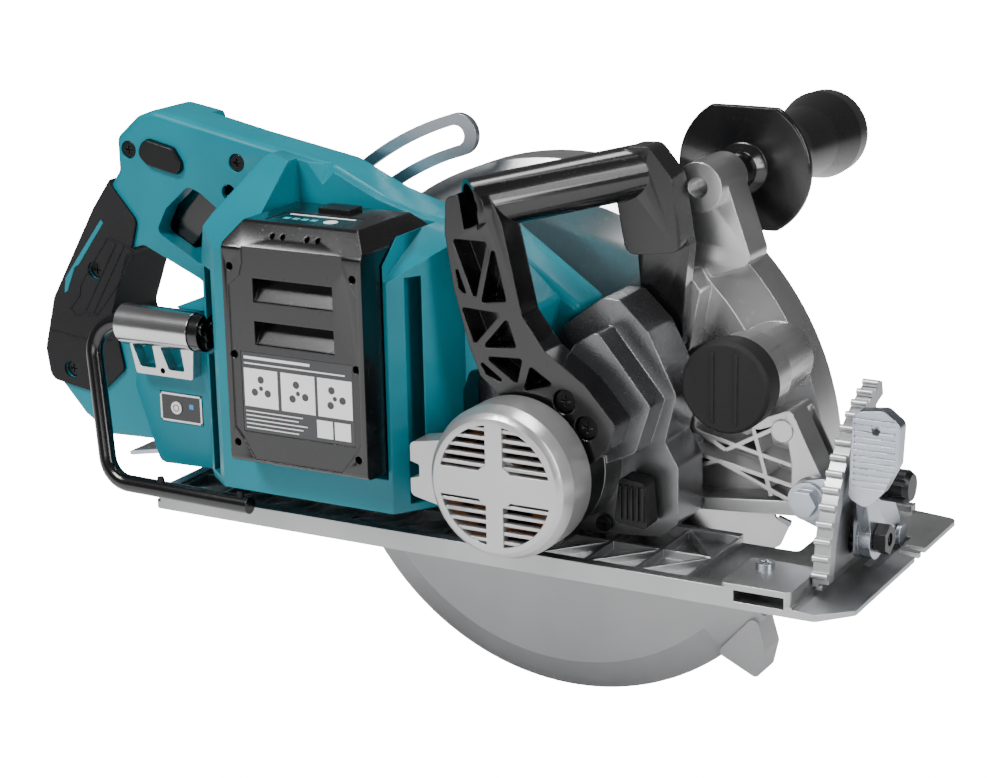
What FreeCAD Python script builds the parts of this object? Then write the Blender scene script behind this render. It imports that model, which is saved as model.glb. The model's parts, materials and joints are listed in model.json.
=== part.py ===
import FreeCAD, Part
import math
import os

from FreeCAD import Vector

# Rear-handle battery circular saw. Millimetres, +X the cutting direction, +Y the blade side, +Z up.
# The origin is on the sole, directly under the arbor, in the middle plane of the blade.

# ---- driving sizes ----
blade_diameter = 260.0
blade_thickness = 1.8
blade_kerf = 2.6
tooth_count = 24
arbor_height = 36.0
base_rear = -188.0
base_front = 197.0
base_near = -111.0
base_far = 47.0
base_sheet = 4.0
base_rim_height = 9.8
base_rim_width = 6.0
slot_near = -36.8
slot_far = 31.0
slot_clearance = 9.0
slot_nose_room = 8.0
rib_width = 1.8
rib_pitch = 27.0
fit_gap = 0.3
running_gap = 0.05

# ---- fixed guard and moving guard ----
case_radius = 146.5
case_wall = 2.5
case_near = -18.0
case_far = 16.0
case_edge_z = 33.0
case_cone_start = 129.0
case_cone_end_y = -8.0
guard_radius = 141.0
guard_wall = 2.0
guard_near = -12.0
guard_far = 12.0
guard_cone_start = 124.0
guard_cone_end_y = -3.5
guard_rear_angle = -187.0
guard_nose_angle = -41.0
guard_nose_reach = 153.5
guard_tip_reach = 162.0

# ---- pivots ----
depth_pivot_x = 154.0
depth_pivot_z = 35.0
depth_pin_radius = 5.0
depth_eye_radius = 10.0
tilt_axis_z = 7.0
tilt_pin_radius = 3.0
tilt_lug_radius = 5.8
guide_arc_radius = 165.0
guide_width = 22.0
guide_slot = 10.5
guide_near = -25.0
guide_far = -21.0
guide_pivot_z = 22.0
guide_bolt_z = 46.0
guide_bolt_radius = 3.0
guide_tip_angle = 107.0
ear_thickness = 4.0
quadrant_rear = 172.0
quadrant_front = 180.0
quadrant_radius = 86.0
clamp_radius = 51.0
clamp_bolt_z = 22.0
clamp_shank = 4.0
lever_swing_side = -62.0

# ---- drive ----
motor_x = 31.0
motor_z = 50.0
motor_radius = 36.0
motor_room = 31.6
cover_radius = 38.0
motor_front = -90.0
motor_rear = -108.0
motor_face = -135.0
leg_near = -105.0
foot_far = -88.0
gear_teeth = 41
pinion_teeth = 10
gear_near = -56.0
gear_far = -44.0
pressure_angle = math.radians(20.0)
backlash = 0.12
spindle_radius = 7.5
bearing_height = 11.0
rotor_shaft_radius = 4.0

# ---- body, handle and battery ----
split_y = -45.0
handle_half = 18.0
body_far = -35.0
body_near = -64.0
pocket_near = -120.0
shell_wall = 3.0
body_round = 4.0
battery_x0 = -117.0
battery_x1 = -37.0
battery_near = -138.0
battery_far = -68.5
battery_z0 = 40.0
battery_z1 = 165.0
battery_gap = 0.6
panel_depth = 0.8
cell_radius = 10.5
cell_length = 70.0
hook_radius = 4.5
hook_axis_y = -103.0
hook_axis_z = 97.0
port_radius = 20.5
port_neck = 18.0
port_x = 121.0
port_z = 93.0
grip_x = 85.0
grip_z = 177.0
screw_radius = 2.0
screw_head = 4.2

arbor = Vector(0, 0, arbor_height)
blade_radius = blade_diameter / 2
along_x = Vector(1, 0, 0)
along_y = Vector(0, 1, 0)
along_z = Vector(0, 0, 1)
towards_near = Vector(0, -1, 0)
towards_rear = Vector(-1, 0, 0)
centre_distance = math.hypot(motor_x, motor_z - arbor_height)
gear_module = 2 * centre_distance / (gear_teeth + pinion_teeth)


# ---- small shape helpers ----
def box(x0, x1, y0, y1, z0, z1):
    return Part.makeBox(x1 - x0, y1 - y0, z1 - z0, Vector(x0, y0, z0))


def rod(start, axis, radius, length):
    return Part.makeCylinder(radius, length, start, axis)


def tube(start, axis, outer, inner, length):
    return rod(start, axis, outer, length).cut(rod(start, axis, inner, length))


def fuse_all(shapes):
    return shapes[0].multiFuse(shapes[1:]).removeSplitter()


def cut_all(shape, tools):
    for tool in tools:
        shape = shape.cut(tool)
    return shape


def polar(radius, degrees):
    angle = math.radians(degrees)
    return radius * math.cos(angle), radius * math.sin(angle)


def about_arbor(radius, degrees):
    across, up = polar(radius, degrees)
    return across, arbor_height + up


def rounded_face(points, radius, place):
    """A closed outline whose corners are arcs of one radius, or of a corner's own third value."""
    corners = []
    count = len(points)
    for index in range(count):
        here = Vector(points[index][0], points[index][1], 0)
        before = Vector(points[index - 1][0], points[index - 1][1], 0) - here
        after_point = points[(index + 1) % count]
        after = Vector(after_point[0], after_point[1], 0) - here
        wanted = points[index][2] if len(points[index]) > 2 else radius
        half_angle = before.getAngle(after) / 2
        back = wanted / max(math.tan(half_angle), 1e-6)
        back = min(back, 0.48 * before.Length, 0.48 * after.Length)
        true_radius = back * math.tan(half_angle)
        before.normalize()
        after.normalize()
        start = here + before * back
        end = here + after * back
        inward = before + after
        if wanted < 0.01 or inward.Length < 1e-6 or back < 1e-3:
            corners.append((here, None, here))
            continue
        inward.normalize()
        centre = here + inward * (true_radius / math.sin(half_angle))
        corners.append((start, centre - inward * true_radius, end))
    edges = []
    for index in range(count):
        start, middle, end = corners[index]
        if middle is not None:
            edges.append(Part.Arc(place(start), place(middle), place(end)).toShape())
        following = corners[(index + 1) % count][0]
        if (following - end).Length > 1e-4:
            edges.append(Part.LineSegment(place(end), place(following)).toShape())
    return Part.Face(Part.Wire(edges))


def plate_y(points, y0, y1, radius=0.0):
    """An XZ outline with thickness from y0 to y1."""
    face = rounded_face(points, radius, lambda p: Vector(p.x, y0, p.y))
    return face.extrude(Vector(0, y1 - y0, 0))


def plate_x(points, x0, x1, radius=0.0):
    """A YZ outline with thickness from x0 to x1."""
    face = rounded_face(points, radius, lambda p: Vector(x0, p.x, p.y))
    return face.extrude(Vector(x1 - x0, 0, 0))


def plate_z(points, z0, z1, radius=0.0):
    """An XY outline with thickness from z0 to z1."""
    face = rounded_face(points, radius, lambda p: Vector(p.x, p.y, z0))
    return face.extrude(Vector(0, 0, z1 - z0))


def spun(profile, centre, axis, radius=0.0):
    """A (radius, distance along the axis) profile turned about an axis through a point."""
    side = along_x if abs(axis.x) < 0.5 else along_z
    face = rounded_face(profile, radius, lambda p: centre + side * p.x + axis * p.y)
    return face.revolve(centre, axis, 360)


def screw(point, inward, length, head_radius=screw_head, shank=screw_radius):
    """A pan-head screw with a cross recess; the point is under its head."""
    head_height = 0.6 * head_radius
    body = rod(point, inward, shank, length).fuse(rod(point, inward * -1, head_radius, head_height))
    side = along_z if abs(inward.z) < 0.5 else along_x
    across = inward.cross(side)
    top = point - inward * head_height
    for direction in (side, across):
        recess = Part.makeBox(1.1, 0.55 * head_radius * 2, 2.4)
        recess.translate(Vector(-0.55, -0.55 * head_radius, -1.2))
        turn = FreeCAD.Rotation(direction, side.cross(inward) if direction is side else side, inward, "ZXY")
        recess.Placement = FreeCAD.Placement(top, turn).multiply(recess.Placement)
        body = body.cut(recess)
    return body


def hex_head(point, axis, across_flats, height):
    face = Part.makePolygon([Vector(*polar(across_flats / math.sqrt(3), 60 * n), 0) for n in range(7)])
    prism = Part.Face(face).extrude(Vector(0, 0, height))
    prism.Placement = FreeCAD.Placement(point, FreeCAD.Rotation(along_z, axis))
    return prism


def path_tube(points, radius, bend):
    """A round bar along straight runs joined by tangent arcs."""
    edges = []
    last = points[0]
    for index in range(1, len(points) - 1):
        here = points[index]
        before = (points[index - 1] - here).normalize()
        after = (points[index + 1] - here).normalize()
        half_angle = before.getAngle(after) / 2
        back = bend / math.tan(half_angle)
        start = here + before * back
        end = here + after * back
        inward = (before + after).normalize()
        middle = here + inward * (bend / math.sin(half_angle) - bend)
        edges.append(Part.LineSegment(last, start).toShape())
        edges.append(Part.Arc(start, middle, end).toShape())
        last = end
    edges.append(Part.LineSegment(last, points[-1]).toShape())
    wire = Part.Wire(edges)
    heading = (points[1] - points[0]).normalize()
    section = Part.Wire(Part.makeCircle(radius, points[0], heading))
    return wire.makePipeShell([section], True, False)


def gear(centre_x, centre_z, teeth, near, far, turn):
    """An involute spur gear about an axis along Y, with backlash on each flank."""
    pitch = gear_module * teeth / 2
    base = pitch * math.cos(pressure_angle)
    outer = pitch + gear_module * 0.92
    root = pitch - gear_module * 1.25
    involute_pitch = math.tan(pressure_angle) - pressure_angle
    half_tooth = math.pi / (2 * teeth) - backlash / pitch
    start = max(base, root)
    flank = []
    for step in range(5):
        radius = start + (outer - start) * step / 4
        roll = math.acos(min(1.0, base / radius))
        flank.append((radius, half_tooth + involute_pitch - (math.tan(roll) - roll)))

    def spot(radius, angle):
        return Vector(centre_x + radius * math.cos(angle), near, centre_z + radius * math.sin(angle))

    edges = []
    step_angle = 2 * math.pi / teeth
    for tooth in range(teeth):
        middle = turn + tooth * step_angle
        rising = [spot(radius, middle - half) for radius, half in flank]
        falling = [spot(radius, middle + half) for radius, half in reversed(flank)]
        foot = flank[0][1]
        if start > root:
            rising.insert(0, spot(root, middle - foot))
            falling.append(spot(root, middle + foot))
        side = Part.makePolygon(rising)
        tip = Part.Arc(rising[-1], spot(outer, middle), falling[0]).toShape()
        other_side = Part.makePolygon(falling)
        following = spot(root if start > root else start, middle + step_angle - foot)
        valley = Part.Arc(falling[-1], spot(root, middle + step_angle / 2), following).toShape()
        edges += side.Edges + [tip] + other_side.Edges + [valley]
    return Part.Face(Part.Wire(edges)).extrude(Vector(0, far - near, 0))


def save(name, shape):
    solids = shape.Solids
    result = solids[0] if len(solids) == 1 else Part.makeCompound(solids)
    result.exportStep("parts/" + name + ".step")
    valid = all(solid.isValid() for solid in solids)
    print(f"{name:24s} solids {len(solids):2d} valid {valid} volume {result.Volume:10.1f}")


# ---- base and bevel parts ----
def base_plate():
    deck = plate_z([(base_rear, base_near), (base_front - 14, base_near), (base_front, base_near + 16),
                    (base_front, base_far), (base_rear, base_far)], 0, base_sheet, 4)
    slot_reach = math.sqrt(guard_radius ** 2 - arbor_height ** 2) + slot_clearance
    slot_rear = -slot_reach - slot_nose_room
    deck = deck.cut(plate_z([(slot_rear, slot_near), (slot_reach, slot_near), (slot_reach, slot_far),
                             (slot_rear, slot_far)], -1, base_sheet + 1, 3))
    lug_gap = 12.0
    deck = deck.cut(box(base_rear + 10.3, quadrant_rear, -lug_gap, lug_gap, -1, base_sheet + 1))
    rim_top = base_rim_height
    inner_near = base_near + base_rim_width
    parts = [deck]
    near_rim = [(base_rear + 4, base_sheet - 1), (base_front - 16, base_sheet - 1), (148, rim_top),
                (base_rear + 4, rim_top)]
    parts.append(plate_y(near_rim, base_near, inner_near, 1.0))
    parts.append(box(base_rear, base_rear + base_rim_width, base_near + 4, base_far - 4, base_sheet - 1, rim_top))
    parts.append(box(base_rear + 4, 176, base_far - base_rim_width, base_far, base_sheet - 1, rim_top - 2))
    rib_front = 116.0
    parts.append(box(base_rear + 4, rib_front, slot_near - 5, slot_near, base_sheet - 1, rim_top - 1))
    bays = int((rib_front - base_rear - base_rim_width) / rib_pitch)
    depth = slot_near - 5 - inner_near
    for bay in range(bays + 1):
        x = base_rear + base_rim_width + bay * rib_pitch
        parts.append(box(x, x + rib_width, inner_near - 1, slot_near - 4, base_sheet - 1, rim_top - 1.5))
        if bay == bays:
            continue
        lean = math.degrees(math.atan2(depth / 2, rib_pitch))
        for half, sign in ((0, 1), (1, -1)):
            rib = box(0, math.hypot(rib_pitch, depth / 2), 0, rib_width, base_sheet - 1, rim_top - 2)
            rib.rotate(Vector(0, 0, 0), along_z, sign * lean)
            rib.translate(Vector(x, inner_near + half * depth * (1 if sign < 0 else 0.5), 0))
            parts.append(rib)
    parts.append(box(base_rear + 4, rib_front, inner_near + depth / 2, inner_near + depth / 2 + rib_width,
                     base_sheet - 1, rim_top - 1.5))
    parts.append(plate_z([(136, base_near), (171, base_near), (171, -74), (136, -74)], base_sheet - 1, 12, 3))
    rear_lug = plate_x([(-10, 1), (10, 1), (7, 15), (-7, 15)], base_rear, base_rear + 10, 3)
    parts.append(rear_lug)
    parts.append(quadrant())
    parts.append(box(quadrant_front - 1, base_front - 2, -70, -62, base_sheet - 1, 7))
    shape = fuse_all(parts)
    tunnel = box(143, 168, base_near - 1, -60, base_sheet - 0.5, 9)
    screw_hole = rod(Vector(147.6, -84, 2), along_z, 2.5, 20)
    front_pin = rod(Vector(quadrant_rear - 5, 0, tilt_axis_z), along_x, tilt_pin_radius, 20)
    rear_pin = rod(Vector(base_rear - 1, 0, tilt_axis_z), along_x, tilt_pin_radius, 15)
    notches = [plate_z([(base_front - 9, y - 1.2), (base_front + 1, y - 3), (base_front + 1, y + 3),
                        (base_front - 9, y + 1.2)], -1, base_sheet + 1) for y in (-4, -13)]
    lip = plate_y([(base_front - 22, base_sheet), (base_front + 1, base_sheet - 1.6), (base_front + 1, base_sheet + 5),
                   (base_front - 22, base_sheet + 5)], base_near - 1, base_far + 1)
    pin_room = box(quadrant_front, quadrant_front + 6.5, -40, 9, 1, base_sheet + 1)
    return cut_all(shape, [tunnel, screw_hole, front_pin, rear_pin, lip, pin_room] + notches)


def quadrant():
    """The bevel quadrant stands on the base and is centred on the tilt axis."""
    def at(radius, degrees):
        lean = math.radians(degrees)
        return -radius * math.sin(lean), tilt_axis_z + radius * math.cos(lean)

    rim = rounded_sector(at, quadrant_radius - 7, quadrant_radius, 14, 90)
    ridges = []
    for step in range(14):
        start = at(quadrant_radius + 1.2, 17 + step * 5.3)
        ridge = rod(Vector(quadrant_rear, *start), along_x, 1.6, quadrant_front - quadrant_rear)
        ridges.append(ridge)
    web = plate_x([at(quadrant_radius - 3, 15), at(quadrant_radius - 4, 32), at(quadrant_radius - 4, 50),
                   at(quadrant_radius - 4, 70), (-quadrant_radius + 4, 2), (10, 2), (10, 12), (2, 14),
                   (-3, 66), (-19.5, 74)], quadrant_rear, quadrant_front - 3, 2)
    plate = web.fuse(rim)
    pad = rod(Vector(quadrant_rear, 0, tilt_axis_z), along_x, 9.5, quadrant_front - quadrant_rear)
    pad = pad.cut(box(quadrant_rear - 1, quadrant_front + 1, -20, 20, -20, 0.5))
    plate = plate.fuse(pad)
    slot_half = clamp_shank + 0.5
    slot = rounded_sector(at, clamp_radius - slot_half, clamp_radius + slot_half, 9, 78)
    slot = slot.fuse(rod(Vector(quadrant_rear, *at(clamp_radius, 9)), along_x, slot_half, 8))
    slot = slot.fuse(rod(Vector(quadrant_rear, *at(clamp_radius, 78)), along_x, slot_half, 8))
    plate = plate.cut(slot)
    floor_side = box(quadrant_rear - 1, quadrant_front + 1, -200, 200, -200, 0.5)
    plate = plate.cut(floor_side)
    return plate.fuse(ridges).removeSplitter()


def rounded_sector(at, inner, outer, first, last):
    """Part of a ring in a YZ plane, between two angles from the vertical."""
    middle = (first + last) / 2

    def spot(radius, degrees):
        return Vector(quadrant_rear, *at(radius, degrees))

    edges = [Part.Arc(spot(outer, first), spot(outer, middle), spot(outer, last)).toShape(),
             Part.LineSegment(spot(outer, last), spot(inner, last)).toShape(),
             Part.Arc(spot(inner, last), spot(inner, middle), spot(inner, first)).toShape(),
             Part.LineSegment(spot(inner, first), spot(outer, first)).toShape()]
    return Part.Face(Part.Wire(edges)).extrude(Vector(quadrant_front - quadrant_rear, 0, 0))


def fence_screw():
    return screw(Vector(147.6, -84, 12), along_z * -1, 8.6, 4.5, 2.45)


def bevel_pins():
    front = rod(Vector(165.5, 0, tilt_axis_z), along_x, tilt_pin_radius - running_gap, 17.2)
    head = rod(Vector(182.7, 0, tilt_axis_z), along_x, 5.5, 2.4)
    rear = rod(Vector(base_rear, 0, tilt_axis_z), along_x, tilt_pin_radius - running_gap, 22)
    return Part.makeCompound([front.fuse(head), rear])


def front_bevel_bracket():
    """Plate behind the quadrant with the two ears that hold the depth pivot."""
    x0 = 165.5
    x1 = quadrant_rear - fit_gap
    clamp_y = -math.sqrt(clamp_radius ** 2 - (clamp_bolt_z - tilt_axis_z) ** 2)
    plate = plate_x([(-62, 12), (-16, 12), (-13, 22), (-13, 50), (-56, 50), (-62, 34)], x0, x1, 4)
    lug = rod(Vector(x0, 0, tilt_axis_z), along_x, tilt_lug_radius, x1 - x0)
    neck = plate_x([(-30, 13), (-4, 4), (4, 4), (5, 13), (-10, 26), (-30, 26)], x0, x1, 1)
    ears = []
    for y in (-49.0, -24.3):
        ears.append(plate_y([(depth_pivot_x - 2, depth_pivot_z + depth_eye_radius),
                             (depth_pivot_x - depth_eye_radius, depth_pivot_z, depth_eye_radius),
                             (depth_pivot_x - 2, depth_pivot_z - depth_eye_radius), (x0 + 1, 20), (x0 + 1, 48)],
                            y, y + ear_thickness, 5))
    shape = fuse_all([plate, lug, neck] + ears)
    pin_hole = rod(Vector(depth_pivot_x, -60, depth_pivot_z), along_y, depth_pin_radius, 60)
    clamp_hole = rod(Vector(x0 - 1, clamp_y, clamp_bolt_z), along_x, clamp_shank, 12)
    tilt_hole = rod(Vector(x0 - 1, 0, tilt_axis_z), along_x, tilt_pin_radius - running_gap, 12)
    return cut_all(shape, [pin_hole, clamp_hole, tilt_hole])


def front_link_plate():
    """Pointer plate in front of the quadrant, tied to the bracket by the pin and the clamp bolt."""
    x0 = quadrant_front + fit_gap
    plate = plate_x([(-56, 13), (-30, 9), (0, 1.4), (6, 8), (3, 15), (-14, 38), (-22, 51), (-36, 51),
                     (-56, 31)], x0, x0 + 2, 4)
    clamp_y = -math.sqrt(clamp_radius ** 2 - (clamp_bolt_z - tilt_axis_z) ** 2)
    holes = [rod(Vector(x0 - 1, clamp_y, clamp_bolt_z), along_x, clamp_shank, 5),
             rod(Vector(x0 - 1, 0, tilt_axis_z), along_x, tilt_pin_radius - running_gap, 5),
             rod(Vector(x0 - 1, -28, 42), along_x, 3 + running_gap, 5)]
    return cut_all(plate, holes)


def clamp_centre():
    return -math.sqrt(clamp_radius ** 2 - (clamp_bolt_z - tilt_axis_z) ** 2)


def bevel_clamp_bolt():
    shank = rod(Vector(165.5, clamp_centre(), clamp_bolt_z), along_x, clamp_shank, 24.5)
    head = hex_head(Vector(190, clamp_centre(), clamp_bolt_z), along_x, 13, 6)
    dimple = rod(Vector(194.5, clamp_centre(), clamp_bolt_z), along_x, 3.2, 3)
    return shank.fuse(head).cut(dimple)


def bevel_washer():
    x = quadrant_front + fit_gap + 2
    return tube(Vector(x, clamp_centre(), clamp_bolt_z), along_x, 10.5, clamp_shank, 1.5)


def bevel_lever():
    """Clamp lever: a hub on the bolt and a ribbed paddle that stands clear of the quadrant."""
    y = clamp_centre()
    x0 = quadrant_front + fit_gap + 3.8
    hub = rod(Vector(x0, y, clamp_bolt_z), along_x, 10.5, 5.6)
    arm = plate_x([(y - 9, clamp_bolt_z + 4), (y + 7, clamp_bolt_z + 6), (-57, 52), (-67, 52)], x0, x0 + 5.6, 2)
    paddle = plate_y([(181.5, 46), (190, 42), (198, 50), (205, 64), (206, 84), (198, 90), (183, 88)], -67, -59, 4)
    shape = fuse_all([hub, arm, paddle])
    grooves = [box(183.5, 203.5, -68, -66, z, z + 1.2) for z in range(52, 86, 3)]
    hole = rod(Vector(194, -70, 80), along_y, 2.2, 20)
    bore = rod(Vector(x0 - 1, y, clamp_bolt_z), along_x, clamp_shank + running_gap, 8)
    return cut_all(shape, grooves + [hole, bore])


def bevel_stop_knob():
    centre = Vector(quadrant_front + fit_gap + 2.3, -28, 42)
    knob = spun([(0, 0), (7, 0), (8.2, 2), (8.2, 14), (6.5, 16.5), (0, 16.5)], centre, along_x)
    flutes = []
    for step in range(6):
        y, z = polar(9.6, 60 * step + 30)
        flutes.append(rod(Vector(centre.x + 3, centre.y + y, centre.z + z), along_x, 2.2, 15))
    stem = rod(centre - along_x * 2.3, along_x, 3, 3)
    return cut_all(knob, flutes).fuse(stem)


def depth_pivot_pin():
    shank = rod(Vector(depth_pivot_x, -50.5, depth_pivot_z), along_y, depth_pin_radius - 0.01, 31)
    head = hex_head(Vector(depth_pivot_x, -50.5, depth_pivot_z), towards_near, 12, 5)
    washer = tube(Vector(depth_pivot_x, -50.5, depth_pivot_z), along_y, 9.5, depth_pin_radius - 0.01, 1.5)
    return Part.makeCompound([shank.fuse(head).fuse(washer).removeSplitter()])


def rear_bevel_bracket():
    """Rear tilt lug with the ear that carries the depth guide."""
    x0 = base_rear + 10.3
    lug = rod(Vector(x0, 0, tilt_axis_z), along_x, tilt_lug_radius, 10)
    arm = plate_x([(5, 6), (3, 12.5), (-12, 12.5), (-18, 10.4), (-34, 10.4), (-34, 4.6), (-14, 4.6), (-4, 2.4)],
                  x0, x0 + 10, 1)
    ear_y = guide_near - fit_gap - ear_thickness
    ear = plate_y([(x0, 5), (x0 + 22, 5), (guide_pivot_x() + 8, guide_pivot_z + 8), (x0, guide_pivot_z + 8)],
                  ear_y, ear_y + ear_thickness, 4)
    pin = rod(Vector(guide_pivot_x(), ear_y, guide_pivot_z), along_y, 4, ear_thickness + 4.6)
    washer = rod(Vector(guide_pivot_x(), guide_far + fit_gap, guide_pivot_z), along_y, 6.5, 1.2)
    shape = fuse_all([lug, arm, ear, pin, washer])
    tilt_hole = rod(Vector(x0 - 1, 0, tilt_axis_z), along_x, tilt_pin_radius - running_gap, 14)
    return shape.cut(tilt_hole)


def guide_pivot_x():
    return -math.sqrt(guide_arc_radius ** 2 - (guide_pivot_z - arbor_height) ** 2)


def guide_bolt_x():
    return -math.sqrt(guide_arc_radius ** 2 - (guide_bolt_z - arbor_height) ** 2)


def guide_band(width, first, last, y0, y1):
    """A curved band about the arbor with round ends."""
    inner = guide_arc_radius - width / 2
    outer = guide_arc_radius + width / 2
    middle = (first + last) / 2

    def spot(radius, degrees):
        x, z = about_arbor(radius, degrees)
        return Vector(x, y0, z)

    def end_arc(degrees, sign):
        across = spot(guide_arc_radius, degrees + sign * math.degrees(width / 2 / guide_arc_radius))
        return across

    edges = [Part.Arc(spot(outer, first), spot(outer, middle), spot(outer, last)).toShape(),
             Part.Arc(spot(outer, last), end_arc(last, 1), spot(inner, last)).toShape(),
             Part.Arc(spot(inner, last), spot(inner, middle), spot(inner, first)).toShape(),
             Part.Arc(spot(inner, first), end_arc(first, -1), spot(outer, first)).toShape()]
    return Part.Face(Part.Wire(edges)).extrude(Vector(0, y1 - y0, 0))


def guide_angle(z):
    return 180 - math.degrees(math.asin((z - arbor_height) / guide_arc_radius))


def depth_guide():
    bar = guide_band(guide_width, guide_tip_angle, guide_angle(guide_pivot_z), guide_near, guide_far)
    slot = guide_band(guide_slot, guide_tip_angle + 0.5, guide_angle(guide_bolt_z) + 0.6, guide_near - 1,
                      guide_far + 1)
    pivot = rod(Vector(guide_pivot_x(), guide_near - 1, guide_pivot_z), along_y, 4 + running_gap, 6)
    return bar.cut(slot).cut(pivot)


def depth_lock_bolt():
    """Boss piece and bolt that the depth lever clamps the guide against."""
    start = case_near
    x = guide_bolt_x()
    tip = -35.0
    shank = rod(Vector(x, tip, guide_bolt_z), along_y, guide_bolt_radius, start - tip)
    pad = rod(Vector(x, guide_far + fit_gap, guide_bolt_z), along_y, 8, start - guide_far - fit_gap)
    return shank.fuse(pad)


def depth_lever():
    x = guide_bolt_x()
    far = guide_near - fit_gap
    hub = rod(Vector(x, far - 7, guide_bolt_z), along_y, 8.5, 7)
    arm = plate_y([(x + 2, guide_bolt_z + 7), (x - 28, guide_bolt_z + 3), (x - 42, 24), (x - 42, 11.5),
                   (x - 36, 11.5), (x - 33, 22), (x - 22, guide_bolt_z - 8), (x, guide_bolt_z - 7)],
                  far - 7, far - 4, 4)
    tab = plate_y([(x - 36, 11.5), (x - 36, 14), (x - 46, 15.5), (x - 78, 9.5), (x - 78, 7), (x - 46, 13)],
                  -60, far - 5, 1)
    shape = fuse_all([hub, arm, tab])
    bore = rod(Vector(x, far - 9, guide_bolt_z), along_y, guide_bolt_radius + running_gap, 12)
    return shape.cut(bore)


# ---- blade, fixed guard and moving guard ----
def blade_case():
    """Fixed guard with the ribbed front arm, dust port, side grip boss and guide boss in one casting."""
    outside = [(0, case_near), (case_cone_start, case_near), (case_radius, case_cone_end_y),
               (case_radius, case_far), (0, case_far)]
    inside = [(0, case_near + case_wall + 0.5), (case_cone_start - 1, case_near + case_wall + 0.5),
              (case_radius - case_wall, case_cone_end_y + 1.3), (case_radius - case_wall, case_far - case_wall),
              (0, case_far - case_wall)]
    drum = spun(outside, arbor, along_y)
    hollow = spun(inside, arbor, along_y)
    open_centre = rod(Vector(0, case_far - case_wall - 1, arbor_height), along_y, 62, 10)
    port = rod(Vector(port_x, -70, port_z), along_y, port_radius, 30)
    port_cone = Part.makeCone(port_neck, port_radius, 4, Vector(port_x, -36, port_z), towards_near)
    neck = rod(Vector(port_x, -41, port_z), along_y, port_neck, 35)
    boss = rod(Vector(grip_x, -24, grip_z), along_y, 12.5, 32)
    boss_web = plate_y([(grip_x - 30, 150), (grip_x - 11, grip_z + 6), (grip_x + 11, grip_z + 5),
                        (grip_x + 26, 140), (grip_x, 130)], -17, 5, 6)
    arm = front_arm()
    handle_pad = plate_y([(54, 96), (84, 96), (90, 128), (84, 136), (58, 136), (52, 128)], -32, case_near + 1, 3)
    guide_boss = plate_y([(guide_bolt_x() - 9, guide_bolt_z - 9), (-120, case_edge_z), (-116, 66),
                          (guide_bolt_x() - 9, guide_bolt_z + 9)], case_near, case_near + 8, 4)
    drum = cut_all(drum, [box(-200, 200, -100, 100, -200, case_edge_z - 3)])
    shape = fuse_all([drum, port, port_cone, neck, boss, boss_web, arm, handle_pad, guide_boss])
    port_bore = rod(Vector(port_x, -71, port_z), along_y, port_radius - 3, 30)
    neck_bore = rod(Vector(port_x, -42, port_z), along_y, port_neck - 3, 25)
    port_mouth = rod(Vector(port_x, -18, port_z), along_y, port_neck - 3, 12).common(hollow)
    spindle_bore = rod(Vector(0, -40, arbor_height), along_y, 33, 60)
    boss_bore = rod(Vector(grip_x, -30, grip_z), along_y, 5, 50)
    guide_hole = rod(Vector(guide_bolt_x(), -30, guide_bolt_z), along_y, guide_bolt_radius, 30)
    pad_hole = rod(Vector(69, -40, 110), along_y, screw_radius, 20)
    gear_screws = [rod(Vector(x, -22, z), along_y, screw_radius, 12) for x, z in gear_screw_spots()]
    shape = cut_all(shape, [hollow, below_case(), spindle_bore, port_bore, neck_bore, port_mouth, boss_bore,
                            guide_hole, pad_hole, open_centre] + gear_screws)
    return shape


def below_case():
    """The far side and the rim end higher than the near wall, so that the saw can lean over the base."""
    return box(-200, 200, case_near + case_wall - 0.5, 100, -200, case_edge_z)


def front_arm():
    outline = [(58, 28), (58, 88), (76, 78), (92, 71), (128, 71), (142, 77), (158, 46), (164.0, 35, 9.9),
               (154, 24.6, 8), (92, 20), (74, 24)]
    plate = plate_y(outline, -26, case_near + 0.5, 3)
    frame = plate_y(outline, -42, -25, 3)
    pocket = rounded_face([(64, 34), (64, 78), (76, 72), (93, 65), (126, 65), (139, 70), (143, 50), (143, 31),
                           (92, 26), (75, 30)], 3, lambda p: Vector(p.x, -43, p.y))
    frame = frame.cut(pocket.extrude(Vector(0, 17, 0)))
    ribs = []
    for start, end in (((62, 66), (146, 48)), ((62, 54), (146, 38)), ((66, 74), (108, 52)), ((108, 52), (140, 70)),
                       ((66, 32), (104, 46)), ((104, 46), (144, 30)), ((92, 66), (82, 30)), ((122, 66), (132, 32))):
        run = math.hypot(end[0] - start[0], end[1] - start[1])
        rib = box(0, run, -41, -25, -1.1, 1.1)
        rib.rotate(Vector(0, 0, 0), towards_near, math.degrees(math.atan2(end[1] - start[1], end[0] - start[0])))
        rib.translate(Vector(start[0], 0, start[1]))
        ribs.append(rib)
    bosses = [rod(Vector(x, -43, z), along_y, 5.5, 18) for x, z in ((84, 66), (138, 66))]
    eye = rod(Vector(depth_pivot_x, -44.7, depth_pivot_z), along_y, depth_eye_radius - 0.1, 20.1)
    shape = fuse_all([plate, frame, eye] + ribs + bosses)
    ear_room = box(143.5, 180, -24.6, case_near - 0.2, 0, 100)
    near_ear_room = box(140, 180, -60, -44.7, 0, 100)
    bore = rod(Vector(depth_pivot_x, -60, depth_pivot_z), along_y, depth_pin_radius + running_gap, 80)
    return cut_all(shape, [ear_room, near_ear_room, bore])


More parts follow.
